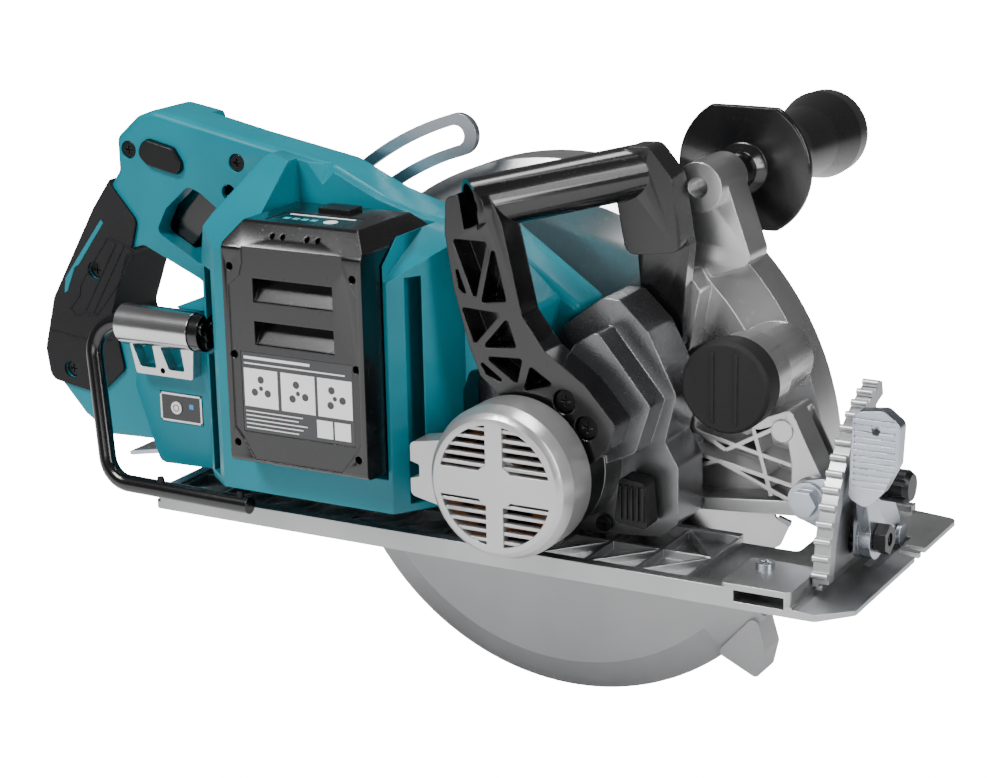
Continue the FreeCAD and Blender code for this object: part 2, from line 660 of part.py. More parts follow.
def lower_guard():
    outside = [(0, guard_near), (guard_cone_start, guard_near), (guard_radius, guard_cone_end_y),
               (guard_radius, guard_far), (0, guard_far)]
    inside = [(0, guard_near + guard_wall), (guard_cone_start - 1, guard_near + guard_wall),
              (guard_radius - guard_wall, guard_cone_end_y + 1.0),
              (guard_radius - guard_wall, guard_far - guard_wall), (0, guard_far - guard_wall)]
    drum = spun(outside, arbor, along_y).cut(spun(inside, arbor, along_y))
    drum = drum.cut(rod(Vector(0, guard_far - guard_wall - 1, arbor_height), along_y, 104, 10))
    rear = about_arbor(300, guard_rear_angle)
    keep = plate_y([(30, arbor_height + 20), (50, 20), (217, -156), (300, -300), (-300, -300), rear,
                    (-30, arbor_height + 30)], -20, 20, 16)
    hub = rod(Vector(0, guard_near, arbor_height), along_y, 36, guard_wall)
    top = about_arbor(guard_radius - 4, guard_nose_angle + 4.5)
    lip = about_arbor(guard_nose_reach, guard_nose_angle)
    tip = about_arbor(guard_tip_reach, guard_nose_angle - 5.2)
    back = about_arbor(guard_radius - 3, guard_nose_angle - 9)
    nose = plate_y([top, lip, tip, back], guard_near + 5, guard_far, 3)
    shape = fuse_all([drum.common(keep), hub, nose])
    return shape.cut(rod(Vector(0, -30, arbor_height), along_y, 28 + fit_gap, 30))


def guard_lever():
    """Thumb lever on the open side of the moving guard."""
    foot = about_arbor(122, guard_nose_angle - 8)
    x, z = foot
    base = plate_y([(x - 9, z - 7), (x + 9, z - 7), (x + 9, z + 7), (x - 9, z + 7)], guard_far, guard_far + 2.5, 3)
    stem = rod(Vector(x, guard_far, z), along_y, 4.5, 14)
    cap = spun([(0, 10), (9, 10), (9, 13), (7, 16), (0, 16)], Vector(x, guard_far, z), along_y)
    return fuse_all([base, stem, cap])


def guard_spring():
    """Torsion spring round the bearing retainer, drawn as a flat coil."""
    return tube(Vector(0, case_near + case_wall - 0.2, arbor_height), along_y, 31.5, 28.8, 2.6)


def saw_blade():
    tooth_pitch = 360.0 / tooth_count
    gullet = blade_radius - 7
    points = []
    for tooth in range(tooth_count):
        angle = -tooth * tooth_pitch
        points.append((*about_arbor(blade_radius - 0.4, angle), 0.0))
        points.append((*about_arbor(blade_radius - 1.6, angle - 0.35 * tooth_pitch), 2.0))
        points.append((*about_arbor(gullet - 1, angle - 0.62 * tooth_pitch), 3.0))
        points.append((*about_arbor(gullet - 3, angle - 0.93 * tooth_pitch), 3.0))
    body = plate_y(points, -blade_thickness / 2, blade_thickness / 2, 1.0)
    body = body.cut(rod(Vector(0, -5, arbor_height), along_y, 10, 10))
    slots = []
    for step in range(4):
        x, z = about_arbor(blade_radius - 34, 45 + 90 * step)
        slots.append(rod(Vector(x, -5, z), along_y, 2.5, 10))
        far_x, far_z = about_arbor(blade_radius - 16, 45 + 90 * step)
        lean = math.degrees(math.atan2(far_z - z, far_x - x))
        cut = box(0, 18, -5, 5, -0.4, 0.4)
        cut.rotate(Vector(0, 0, 0), towards_near, lean)
        cut.translate(Vector(x, 0, z))
        slots.append(cut)
    return cut_all(body, slots + blade_tips())


def blade_tips():
    tips = []
    for tooth in range(tooth_count):
        angle = tooth * 360.0 / tooth_count
        face = rounded_face([about_arbor(blade_radius, angle), about_arbor(blade_radius - 7, angle + 0.6),
                             about_arbor(blade_radius - 7, angle + 1.5), about_arbor(blade_radius, angle + 1.3)],
                            0, lambda p: Vector(p.x, -blade_kerf / 2, p.y))
        tips.append(face.extrude(Vector(0, blade_kerf, 0)))
    return tips


def spindle():
    half = blade_thickness / 2
    body = rod(Vector(0, -64, arbor_height), along_y, spindle_radius, 60 - half)
    nose = rod(Vector(0, -half - 4, arbor_height), along_y, 9.9, 3.9 + half)
    shape = body.fuse(nose)
    return shape.cut(rod(Vector(0, -16, arbor_height), along_y, 4, 30))


def inner_flange():
    half = blade_thickness / 2
    return tube(Vector(0, -half - 4, arbor_height), along_y, 22, 9.9, 4)


def outer_flange():
    half = blade_thickness / 2
    ring = spun([(4, 0), (22, 0), (22, 2), (14, 5), (4, 5)], Vector(0, half, arbor_height), along_y)
    return ring


def blade_bolt():
    half = blade_thickness / 2
    shank = rod(Vector(0, -14, arbor_height), along_y, 4, 19 + half)
    return shank.fuse(hex_head(Vector(0, half + 5, arbor_height), along_y, 16, 6))


def spindle_gear():
    wheel = gear(0, arbor_height, gear_teeth, gear_near, gear_far, 0)
    relief = tube(Vector(0, gear_near - 1, arbor_height), along_y, 22, 13, 4)
    return cut_all(wheel, [rod(Vector(0, -80, arbor_height), along_y, spindle_radius, 60), relief])


def drive_line():
    return math.atan2(motor_z - arbor_height, motor_x)


# ---- motor ----
def rotor_shaft():
    """Shaft with the pinion cut on its end."""
    line = drive_line()
    turn = line + math.pi + line * gear_teeth / pinion_teeth + math.pi / pinion_teeth
    pinion = gear(motor_x, motor_z, pinion_teeth, gear_near - 1, gear_far + 1, turn)
    shaft = rod(Vector(motor_x, -126, motor_z), along_y, rotor_shaft_radius, 126 + gear_near - 1)
    return pinion.fuse(shaft)


def rotor_core():
    return tube(Vector(motor_x, -110, motor_z), along_y, 15, rotor_shaft_radius, 30)


def cooling_fan():
    hub = tube(Vector(motor_x, -76, motor_z), along_y, 9, rotor_shaft_radius, 8)
    disc = tube(Vector(motor_x, -70, motor_z), along_y, 31, 8, 2)
    blades = []
    for step in range(12):
        blade = box(8, 31, -76, -69.5, -0.8, 0.8)
        blade.rotate(Vector(14, 0, 0), along_y, 25)
        blade.rotate(Vector(0, 0, 0), along_y, 30 * step)
        blade.translate(Vector(motor_x, 0, motor_z))
        blades.append(blade)
    shape = fuse_all([hub, disc] + blades)
    return shape.common(tube(Vector(motor_x, -77, motor_z), along_y, 31, rotor_shaft_radius, 12))


def stator():
    ring = tube(Vector(motor_x, -112, motor_z), along_y, motor_room - 0.1, 26, 34)
    teeth = []
    for step in range(6):
        pole = box(16.5, 28, -112, -78, -3.2, 3.2)
        pole.rotate(Vector(0, 0, 0), along_y, 60 * step)
        pole.translate(Vector(motor_x, 0, motor_z))
        teeth.append(pole)
    shape = fuse_all([ring] + teeth)
    return shape.cut(rod(Vector(motor_x, -120, motor_z), along_y, 16, 50))


def bearing(x, y, z, outer, inner, width):
    return tube(Vector(x, y, z), along_y, outer, inner, width)


def spindle_bearings():
    return Part.makeCompound([bearing(0, -38, arbor_height, 17.5, spindle_radius, bearing_height),
                              bearing(0, -64, arbor_height, 12, spindle_radius, 6.5)])


def rotor_bearings():
    return Part.makeCompound([bearing(motor_x, -66, motor_z, 9.5, rotor_shaft_radius, 6),
                              bearing(motor_x, -125, motor_z, 9.5, rotor_shaft_radius, 6)])


def gear_screw_spots():
    return [(-28, 64), (4, 79), (30, 73), (45, 44)]


def gear_housing_top():
    return [(-34, 76), (-10, 88), (26, 98), (34.5, 113)]


def gear_housing():
    """Cast box that holds the reduction gears and the front half of the motor."""
    inner_layer = plate_y([(-34, 30)] + gear_housing_top() + [(50, 113), (50, 14), (20, 12), (-14, 14)],
                          -46, case_near, 4)
    outer_layer = plate_y([(-34, 30)] + gear_housing_top() + [(57, 130), (66, 130), (81, 116), (96, 86), (90, 62),
                          (97, 50), (97, 22), (88, 14), (52, 10.5), (20, 12), (-14, 14)], -72, -44, 4)
    barrel = rod(Vector(motor_x, motor_front, motor_z), along_y, motor_radius, 30)
    foot_pad = plate_y([(36, 88), (50, 110), (62, 118), (90, 84), (82, 60), (60, 50)], foot_far, -70, 4)
    shape = fuse_all([inner_layer, outer_layer, barrel, foot_pad])
    gear_room = rod(Vector(0, -58, arbor_height), along_y, 30, 18)
    pinion_room = rod(Vector(motor_x, -58, motor_z), along_y, 10, 18)
    front_seat = rod(Vector(0, -40, arbor_height), along_y, 17.5, 14)
    retainer_seat = rod(Vector(0, -27, arbor_height), along_y, 26, 20)
    rear_seat = rod(Vector(0, -64.2, arbor_height), along_y, 12, 10)
    pinion_seat = rod(Vector(motor_x, -66, motor_z), along_y, 9.5, 10)
    rotor_room = rod(Vector(motor_x, motor_front - 1, motor_z), along_y, motor_room, 1 - 66 - motor_front)
    side_pocket = plate_y([(64, 84), (64, 118), (74, 112), (86, 86)], -68, -43, 3)
    lower_pocket = plate_y([(70, 22), (70, 48), (92, 46), (92, 24)], -61, -43, 3)
    holes = [rod(Vector(x, -27, z), along_y, screw_radius, 12) for x, z in gear_screw_spots()]
    holes += [rod(Vector(x, foot_far - 1, z), along_y, 2.5, 14) for x, z in foot_screw_spots()]
    holes.append(rod(Vector(shaft_lock_x, -80, shaft_lock_z), along_y, 3 + running_gap, 40))
    holes.append(rod(Vector(58, -80, 17), along_y, screw_radius, 40))
    return cut_all(shape, [gear_room, pinion_room, front_seat, retainer_seat, rear_seat, pinion_seat, rotor_room,
                           side_pocket, lower_pocket] + holes)


shaft_lock_x = 79.0
shaft_lock_z = 33.0


def foot_screw_spots():
    return [(53, 86.5), (64.5, 75)]


def case_screws():
    screws = [screw(Vector(x, case_near + case_wall + 0.5, z), towards_near, 10, 3.6) for x, z in gear_screw_spots()]
    screws.append(screw(Vector(58, -72, 17), along_y, 24))
    return screws


def bearing_retainer():
    collar = rod(Vector(0, case_near, arbor_height), along_y, 28, 10)
    plug = rod(Vector(0, -27, arbor_height), along_y, 26, 10)
    shape = collar.fuse(plug).removeSplitter()
    return shape.cut(rod(Vector(0, -40, arbor_height), along_y, 10.2, 60))


def motor_housing():
    """Sleeve over the stator, between the gear housing and the grilled cap."""
    length = motor_front - motor_rear
    ring = rod(Vector(motor_x, motor_rear, motor_z), along_y, motor_radius, length)
    screw_bump = rod(Vector(motor_x + 18, motor_rear, motor_z - 30), along_y, 5, length)
    return ring.fuse(screw_bump).cut(rod(Vector(motor_x, motor_rear - 1, motor_z), along_y, motor_room, length + 2))


def motor_end_cover():
    """Grilled cap with the rear bearing seat."""
    centre = Vector(motor_x, motor_face, motor_z)
    depth = motor_rear - motor_face
    cup = spun([(0, 0, 0), (33, 0), (35.5, 2.5), (cover_radius, 9), (cover_radius, depth), (0, depth, 0)],
               centre, along_y, 0.8)
    lug = plate_y([(-22, 35), (-22, 62), (2, 66), (2, 30)], motor_rear - 15, motor_rear, 3)
    notch = plate_y([(-24, 43), (-24, 53), (-17, 51), (-17, 45)], motor_rear - 16, motor_rear + 1, 1)
    cup = cup.fuse(lug).cut(notch)
    cup = cup.cut(spun([(0, 5), (31, 5), (34, 9), (34, depth + 1), (0, depth + 1)], centre, along_y))
    opening = rod(centre - along_y, along_y, 30, 7)
    band = box(motor_x - 4.5, motor_x + 4.5, motor_face - 2, motor_face + 8, motor_z - 32, motor_z + 32)
    middle = box(motor_x - 32, motor_x + 32, motor_face - 2, motor_face + 8, motor_z - 7, motor_z + 7)
    disc = rod(centre - along_y * 2, along_y, 11, 12)
    for keep in (band, middle, disc):
        opening = opening.cut(keep)
    cup = cup.cut(opening)
    slats = []
    for step in range(5):
        for sign in (1, -1):
            z = motor_z + sign * (9.4 + 4.5 * step)
            reach = math.sqrt(31 ** 2 - (z - motor_z) ** 2)
            slats.append(box(motor_x - reach, motor_x + reach, motor_face + 1, motor_face + 4.5, z - 0.8, z + 0.8))
    seat = tube(Vector(motor_x, motor_face + 5, motor_z), along_y, 13, 9.5, depth - 10)
    arms = box(motor_x - 33, motor_x + 33, motor_face + 4, motor_face + 12, motor_z - 2, motor_z + 2)
    arms = arms.cut(rod(centre, along_y, 9.5, 30))
    shape = fuse_all([cup, seat, arms] + slats)
    return shape


# ---- body shells ----
body_outline = [(-290, 50), (-292, 64), (-284, 93), (-253, 145), (-236, 168), (-236, 186), (-222, 198, 8),
                (-211, 202, 8), (-193, 199), (-154, 191, 20), (-99, 181, 20), (-71, 168), (-44, 160), (-8, 156),
                (43, 120.5), (34, 114), (25.5, 98.5), (-10, 88.5), (-34.5, 76.5), (-34.5, 21), (-205, 20), (-254, 18),
                (-270, 28)]
hand_hole = [(-247, 88), (-233, 125), (-221, 129), (-186, 114), (-176, 108), (-172, 100), (-214, 74), (-243, 72)]
trigger_window = [(-212, 137), (-205, 150), (-190, 163), (-182, 160), (-168, 150), (-170, 120), (-185, 122)]
battery_post = [(-152, 22), (-152, 138), (-146, 160), (-132, 187), (-99, 180), (-71, 167), (-44, 159),
                (-6, 156), (30, 126), (25, 99), (-9, 89.5), (-12, 80), (-12, 22)]


def body_solid(y0, y1, rounded=(body_near, body_far, split_y + handle_half), grow=0.0):
    """The body's side outline between two planes, with its edges rounded where they show."""
    face = rounded_face(body_outline, 5, lambda p: Vector(p.x, y0, p.y))
    if grow:
        face = face.makeOffset2D(grow)
    solid = face.extrude(Vector(0, y1 - y0, 0))
    edges = [edge for edge in solid.Edges
             if any(all(abs(v.Y - y) < 0.01 for v in edge.Vertexes) for y in rounded)]
    return solid.makeFillet(body_round, edges)


def handle_clip(y0, y1):
    return plate_y([(-320, 40), (-320, 230), (-190, 230), (-190, 60), (-236, 60), (-250, 16), (-300, 10)], y0, y1)


def window_tools():
    return [plate_y(hand_hole, -140, 10, 6), plate_y(trigger_window, -140, 10, 4)]


def battery_room():
    gap = battery_gap
    return box(battery_x0 - gap, battery_x1 + gap, -150, battery_far + gap, battery_z0 - gap, 260)


def tetra(a, b, c, d):
    faces = [Part.Face(Part.makePolygon([p, q, r, p])) for p, q, r in ((a, b, c), (a, b, d), (b, c, d), (c, a, d))]
    solid = Part.makeSolid(Part.makeShell(faces))
    solid.fix(1e-5, 1e-6, 1e-4)
    return solid


def facet_notch(spread, drop, back):
    """The V-shaped notch in the shell above the battery; a larger one backs its walls."""
    front = body_near - 10
    return tetra(Vector(-121.5 - spread, front, 188.2), Vector(-81 + spread, front, 186),
                 Vector(-102.9, front, 165 - drop), Vector(-102, back, 190))


def inner_offset(points, wall, y0, y1, radius):
    face = rounded_face(points, radius, lambda p: Vector(p.x, y0, p.y)).makeOffset2D(-wall)
    return face.extrude(Vector(0, y1 - y0, 0))


def housing_screw_spots():
    return [(-275, 54), (-254, 112), (-227.5, 180), (-158, 178), (18, 106), (-216, 38)]


def shell_bosses(y0, y1):
    return [rod(Vector(x, y0, z), along_y, 5, y1 - y0) for x, z in housing_screw_spots()]


def right_shell():
    """Near half of the body, with the battery pocket and the switch handle."""
    layer = body_solid(body_near, split_y)
    frame = plate_y(battery_post, pocket_near, body_near + 1, 4)
    rear_block = plate_y([(-206, 62), (-196, 104), (-150, 112), (-150, 22), (-192, 21)], -98, body_near + 1, 5)
    frame = frame.cut(plate_x([(pocket_near - 1, 146), (body_near, 194), (body_near, 260), (pocket_near - 1, 260)],
                              -300, -36))
    frame = frame.cut(plate_x([(pocket_near - 1, 138), (body_near, 168), (body_near, 260), (pocket_near - 1, 260)],
                              -36, 200))
    face_slope = plate_z([(-35, pocket_near - 1), (60, pocket_near - 1), (60, -86), (-11, -86)], 0, 260)
    corner = plate_z([(-153, pocket_near - 1), (-134, pocket_near - 1), (-153, -106)], 0, 260)
    barrel_room = rod(Vector(motor_x, -150, motor_z), along_y, cover_radius + 0.4, 80)
    lug_room = box(-22.4, 20, -150, motor_rear + 1, 28, 68)
    housing_room = plate_y([(-34.4, 20)] + [(x, z + 0.4) for x, z in gear_housing_top()] +
                           [(60, 134), (120, 90), (100, 10), (20, 10)], -72.4, 10)
    pad_room = plate_y([(20, 70), (47, 111), (90, 100), (80, 40)], -150, -60)
    outer = fuse_all([layer, frame, rear_block])
    outer = cut_all(outer, [face_slope, corner, barrel_room, lug_room, housing_room, pad_room, battery_room()])
    outer = cut_all(outer, window_tools())
    hollows = [inner_offset(body_outline, shell_wall, body_near + shell_wall, split_y, 5),
               box(-149, battery_x0 - battery_gap - 3, -116, -60, 26, 134),
               box(-33, -24, -112, -70, 26, 140),
               box(-112, -42, -114, -60, 25, battery_z0 - battery_gap - 3),
               box(-190, -152, -95, -60, 26, 60)]
    walls = fuse_all(window_walls(body_near, split_y))
    cavity = cut_all(hollows[0], [walls])
    shape = cut_all(outer, [cavity] + hollows[1:])
    trigger_room = plate_y([(-217, 128), (-196, 126), (-172, 155), (-170, 173), (-196, 168), (-215, 152)],
                           trigger_near - 0.5, split_y)
    bosses = [boss.common(outer) for boss in shell_bosses(body_near, split_y)]
    backing = facet_notch(7, 5, split_y - 1).common(outer)
    shape = shape.fuse(bosses + [backing]).cut(trigger_room).cut(facet_notch(0, 0, split_y - 6))
    for x, z in housing_screw_spots():
        shape = shape.cut(rod(Vector(x, body_near - 60, z), along_y, screw_head + 0.6, 63))
        shape = shape.cut(rod(Vector(x, body_near - 60, z), along_y, screw_radius, 100))
    button_hole = lock_button_shape(body_near - 10, split_y + 1, 0.3)
    panel_seat = box(-190, -163, -99, -96.6, 44.5, 60.5)
    round_hole = rod(Vector(-164, body_near - 1, 162), along_y, 4.2, 5)
    hook_screw_hole = rod(Vector(-182, -106, 74), along_y, 1.5, 16)
    barrel_seat = rod(Vector(-214, hook_axis_y, hook_axis_z), along_x, 10.9, 66)
    terminal_hole = box(-100, -54, battery_far, body_near + 6, 52, 62)
    return cut_all(shape, [button_hole, panel_seat, round_hole, hook_screw_hole, barrel_seat, terminal_hole])


def window_walls(y0, y1):
    walls = []
    for points in (hand_hole, trigger_window):
        face = rounded_face(points, 4, lambda p: Vector(p.x, y0, p.y)).makeOffset2D(shell_wall)
        walls.append(face.extrude(Vector(0, y1 - y0, 0)))
    pocket = box(battery_x0 - 4, battery_x1 + 4, y0, y0 + 5, battery_z0 - 4, 260)
    return walls + [pocket]


def left_shell():
    """Far half of the body; its handle part is thicker than the part beside the guard."""
    flat = body_solid(split_y, body_far)
    handle = body_solid(split_y, split_y + handle_half).common(handle_clip(split_y, split_y + handle_half))
    outer = cut_all(flat.fuse(handle), window_tools())
    flat_room = inner_offset(body_outline, shell_wall, split_y, body_far - shell_wall, 5)
    handle_room = inner_offset(body_outline, shell_wall, split_y, split_y + handle_half - shell_wall, 5)
    handle_room = handle_room.common(plate_y([(-320, 45), (-320, 230), (-193, 230), (-193, 63), (-239, 63),
                                              (-252, 30)], split_y, 0))
    walls = fuse_all([tool.common(box(-320, 100, split_y, 0, 0, 260)) for tool in window_walls(split_y, 0)[:2]])
    cavity = flat_room.fuse(handle_room).cut(walls)
    trigger_room = plate_y([(-217, 128), (-196, 126), (-172, 155), (-170, 173), (-196, 168), (-215, 152)],
                           split_y, trigger_far + 0.5)
    shape = outer.cut(cavity)
    bosses = [boss.common(outer) for boss in shell_bosses(split_y, split_y + handle_half)]
    shape = shape.fuse(bosses).cut(trigger_room)
    for x, z in housing_screw_spots():
        shape = shape.cut(rod(Vector(x, split_y - 1, z), along_y, screw_radius, 9))
    return shape.cut(lock_button_shape(split_y - 1, 0, 0.3))


def housing_screws():
    return [screw(Vector(x, body_near + 3, z), along_y, 23) for x, z in housing_screw_spots()]


def rear_grip():
    """Rubber sleeve on the rear leg of the switch handle."""
    leg = [(-306, 58), (-298, 94), (-262, 150), (-247, 168), (-224, 142), (-229, 124), (-244, 88), (-238, 58),
           (-256, 42), (-296, 48)]
    sleeve = plate_y(leg, body_near - 2, split_y + handle_half + 2, 5)
    body = body_solid(body_near, split_y + handle_half)
    hole = plate_y(hand_hole, -140, 10, 6)
    face = rounded_face(hand_hole, 6, lambda p: Vector(p.x, -140, p.y)).makeOffset2D(-2)
    inner_hole = face.extrude(Vector(0, 150, 0))
    window = plate_y(trigger_window, -140, 10, 4)
    solid = sleeve.cut(body.cut(hole)).cut(inner_hole).cut(window)
    grip_near = body_near - 2
    grip_far = split_y + handle_half + 2
    solid = solid.common(body_solid(grip_near, grip_far, (grip_near, grip_far), 2))
    solids = sorted(solid.Solids, key=lambda piece: piece.Volume)
    rubber = solids[-1]
    for x, z in housing_screw_spots():
        rubber = rubber.cut(rod(Vector(x, body_near - 60, z), along_y, screw_head + 0.6, 63))
    return rubber


trigger_near = -53.0
trigger_far = -37.0
trigger_pivot = Vector(-178, 0, 164)


def switch_trigger():
    outline = [(-209, 131), (-204, 144), (-193, 156), (-186, 168), (-173, 169), (-173, 158), (-186, 141),
               (-197, 128)]
    shape = plate_y(outline, trigger_near, trigger_far, 3)
    bore = rod(trigger_pivot - along_y * 60, along_y, 2 + running_gap, 40)
    return shape.cut(bore)


def trigger_pin():
    start = Vector(trigger_pivot.x, trigger_near - 0.5, trigger_pivot.z)
    return rod(start, along_y, 2, trigger_far - trigger_near + 1)


def main_switch():
    return plate_y([(-233, 146), (-223, 144), (-215, 158), (-219, 169), (-231, 168)], -55, -38, 1)


def lock_button_shape(y0, y1, grow):
    outline = [(-220 - grow, 178), (-216, 187 + grow), (-197, 183 + grow), (-191 + grow, 174), (-195, 169 - grow),
               (-214, 173 - grow)]
    return plate_y(outline, y0, y1, 5)


def lock_off_button():
    return lock_button_shape(body_near - 3, split_y + handle_half + 3, 0)


# ---- battery ----
def battery_case():
    """Slide-in pack: a body with chamfered top, two finger recesses and four screw wells."""
    x0, x1, z0, z1 = battery_x0, battery_x1, battery_z0, battery_z1
    side = plate_x([(battery_near, z0 + 4), (battery_near, z1 - 12), (battery_near + 10, z1), (battery_far - 12, z1),
                    (battery_far, z1 - 10), (battery_far, z0)], x0, x1, 3)
    side = side.common(plate_y([(x0, z0), (x0, z1 - 10), (x0 + 8, z1 + 1), (x1 - 8, z1 + 1), (x1, z1 - 10),
                                (x1, z0)], battery_near - 1, battery_far + 1, 3))
    recesses = []
    for z in (z0 + 71, z0 + 92.5):
        recesses.append(plate_x([(battery_near - 1, z - 6), (battery_near + 2, z - 6), (battery_near + 9, z + 4),
                                 (battery_near + 9, z + 6), (battery_near - 1, z + 6)], x0 + 17, x1 - 17, 0.8))
    wells = [rod(Vector(x, battery_near - 1, z), along_y, 2, 8)
             for x in (x0 + 4.5, x1 - 4.9) for z in (z0 + 14, z0 + 59, z1 - 21.5)]
    panel = plate_y([(x0 + 3, 62), (x0 + 3, 134), (x0 + 9.5, 139), (x0 + 11.5, 146), (x0 + 11.5, 154),
                     (x1 - 10.5, 154), (x1 - 10.5, 146), (x1 - 7, 140), (x1 - 3, 134), (x1 - 3, 62), (x1 - 7, 56),
                     (x1 - 15, 46), (x0 + 14, 46), (x0 + 8, 56)], battery_near - 1, battery_near + panel_depth, 1)
    inner = box(x0 + 2.5, x1 - 2.5, battery_near + 11.5, battery_far - 2.5, z0 + 2.5, z1 - 14)
    label_seat = box(x0 + 8, x1 - 7, battery_near - 1, battery_near + panel_depth + 0.8, z0 + 20, z0 + 61)
    gauge_seat = box(x0 + 17, x1 - 17, battery_near + 14, battery_near + 34, z1 - 1.2, z1 + 1)
    button_room = box(-86.3, -67.7, battery_near + 40, battery_near + 52.3, z1 - 9, z1 + 1)
    holes = [rod(Vector(x, battery_near + 2, z1 - 6), along_y, 1.4, 12) for x in (-90, -84, -70, -64)]
    return cut_all(side, recesses + wells + [panel, inner, label_seat, gauge_seat, button_room] + holes)


def battery_cells():
    """Ten cells in two rows, lying along the pack."""
    cells = []
    pitch_z = (battery_z1 - battery_z0 - 17 - 2 * cell_radius) / 4
    for row in range(2):
        for column in range(5):
            y = battery_near + 11.5 + cell_radius + 0.5 + row * (2 * cell_radius + 1.5)
            z = battery_z0 + 3 + cell_radius + column * pitch_z
            cells.append(rod(Vector(battery_x0 + 4, y, z), along_x, cell_radius, cell_length + 1))
    return cells


def battery_label():
    x0, x1, z0 = battery_x0, battery_x1, battery_z0
    back = battery_near + panel_depth + 0.8
    return box(x0 + 8.2, x1 - 7.2, back - 0.6, back, z0 + 20.2, z0 + 60.8)


def battery_gauge():
    return box(battery_x0 + 17.2, battery_x1 - 17.2, battery_near + 14.2, battery_near + 33.8, battery_z1 - 1.2,
               battery_z1 - 0.2)


def battery_release():
    return box(-86, -68, battery_near + 40.3, battery_near + 52, battery_z1 - 5.5, battery_z1 + 2)


def terminal_block():
    return box(-100, -54, battery_far + battery_gap, body_near + 5, 52, 62).cut(
        box(-97, -57, battery_far, battery_far + 2.5, 54, 60))


def motor_controller():
    return plate_y([(-140, 30), (-140, 70), (-40, 70), (-40, 30)], -58.6, -48.2, 2)


# ---- front handle ----
def front_handle():
    """D-handle: a tube that crosses the saw, a ribbed rear leg and a plain front leg."""
    start = Vector(2, -101, 176)
    end = Vector(66, -34, 187)
    along = (end - start).normalize()
    bar = rod(start, along, 13, (end - start).Length)
    leg_outline = [(-9, 180), (-10, 163), (-6, 137), (2, 108), (8, 94), (25, 80), (50, 71), (66, 56), (76, 66),
                   (80, 78), (64, 96), (43, 110), (31, 126), (21, 170), (14, 184)]
    leg = plate_y(leg_outline, leg_near, foot_far, 4)
    front = plate_y([(56, 184), (60, 150), (62, 128), (60, 99), (84, 99), (86, 133), (88, 152), (78, 186)], -40,
                    -32, 4)
    elbow = plate_y([(52, 178), (58, 146), (88, 150), (82, 186), (70, 200), (56, 199)], -48, -32, 6)
    shape = fuse_all([bar, leg, front, elbow])
    bore = rod(start - along * 5, along, 10.5, 52)
    pockets = []
    for outline in leg_pockets():
        face = rounded_face(outline, 1.2, lambda p: Vector(p.x + 1, leg_near - 1, p.y + 2))
        pockets.append(face.extrude(Vector(0, foot_far - leg_near - 2, 0)))
    holes = [rod(Vector(x, -120, z), along_y, 2.5, 40) for x, z in foot_screw_spots()]
    holes += [rod(Vector(x, -120, z), along_y, 6, 120 + leg_near + 5) for x, z in foot_screw_spots()]
    holes.append(rod(Vector(motor_x, -140, motor_z), along_y, motor_radius + 0.3, 60))
    holes.append(rod(Vector(69, -60, 110), along_y, screw_radius, 40))
    cap = rod(Vector(start.x, -140, start.z), along_y, 30, 140 + leg_near - 3)
    return cut_all(shape, [bore, cap] + pockets + holes)


def leg_pockets():
    return [[(-7, 158), (12, 158), (5, 128)], [(-7, 150), (-4, 134), (1, 130)], [(15, 158), (22, 130), (8, 128)],
            [(-3, 125), (19, 124), (4, 107)], [(22, 122), (27, 108), (8, 106)], [(5, 101), (10, 93), (24, 88)],
            [(9, 102), (30, 103), (27, 90)], [(34, 100), (47, 92), (30, 87)], [(27, 81), (42, 74), (36, 83)]]


def handle_screws():
    screws = [screw(Vector(x, leg_near + 5, z), along_y, 24, 5.2, 2.5) for x, z in foot_screw_spots()]
    screws.append(screw(Vector(69, -40, 110), along_y, 20, 5.2))
    return screws


def side_grip():
    """Auxiliary handle on the blade side, with a guard flange and a round end."""
    profile = [(0, 8, 0), (9, 8), (9, 26), (13, 30), (36, 31), (36, 35), (24, 37), (18.5, 42), (16.5, 60),
               (16, 84), (19, 112), (23.5, 134), (23, 146), (14, 152), (0, 152, 0)]
    shape = spun(profile, Vector(grip_x, 0, grip_z), along_y, 1.5)
    flats = [box(grip_x - 50, grip_x + 50, 25, 39, grip_z + 31, grip_z + 60),
             box(grip_x - 50, grip_x + 50, 25, 39, grip_z - 60, grip_z - 31)]
    return cut_all(shape, flats + [rod(Vector(grip_x, 7, grip_z), along_y, 5, 45)])


def side_grip_stud():
    return rod(Vector(grip_x, -14, grip_z), along_y, 5, 66)


def dust_cap():
    cup = spun([(0, 0), (21, 0), (22.5, 2), (22.5, 14), (port_radius, 14), (port_radius, 3), (0, 3)],
               Vector(port_x, -73, port_z), along_y)
    bars = [box(port_x + x - 0.8, port_x + x + 0.8, -73.8, -72, port_z - 17, port_z + 17) for x in (-6, 6)]
    return fuse_all([cup] + bars)


# ---- hanging hook ----
def hook_bracket():
    """Barrel and two-window foot screwed to the body."""
    barrel = rod(Vector(-206, hook_axis_y, hook_axis_z), along_x, 10.5, 46)
    foot = plate_y([(-205, 98), (-161, 98), (-163, 71), (-199, 71)], -105, -98, 1.5)
    shape = barrel.fuse(foot)
    windows = [plate_y([(x, 87), (x + 13, 87), (x + 15, 75), (x + 5, 75)], -106, -97, 1) for x in (-201, -183)]
    bore = rod(Vector(-207, hook_axis_y, hook_axis_z), along_x, hook_radius + running_gap, 50)
    return cut_all(shape, windows + [bore, rod(Vector(-182, -110, 74), along_y, 1.5, 20)])


def hook_rod():
    end = Vector(-160, hook_axis_y, hook_axis_z)
    points = [end, Vector(-229, hook_axis_y, hook_axis_z), Vector(-209, -120, 15), Vector(-120, -120, 14)]
    shape = path_tube(points, hook_radius, 16)
    return shape


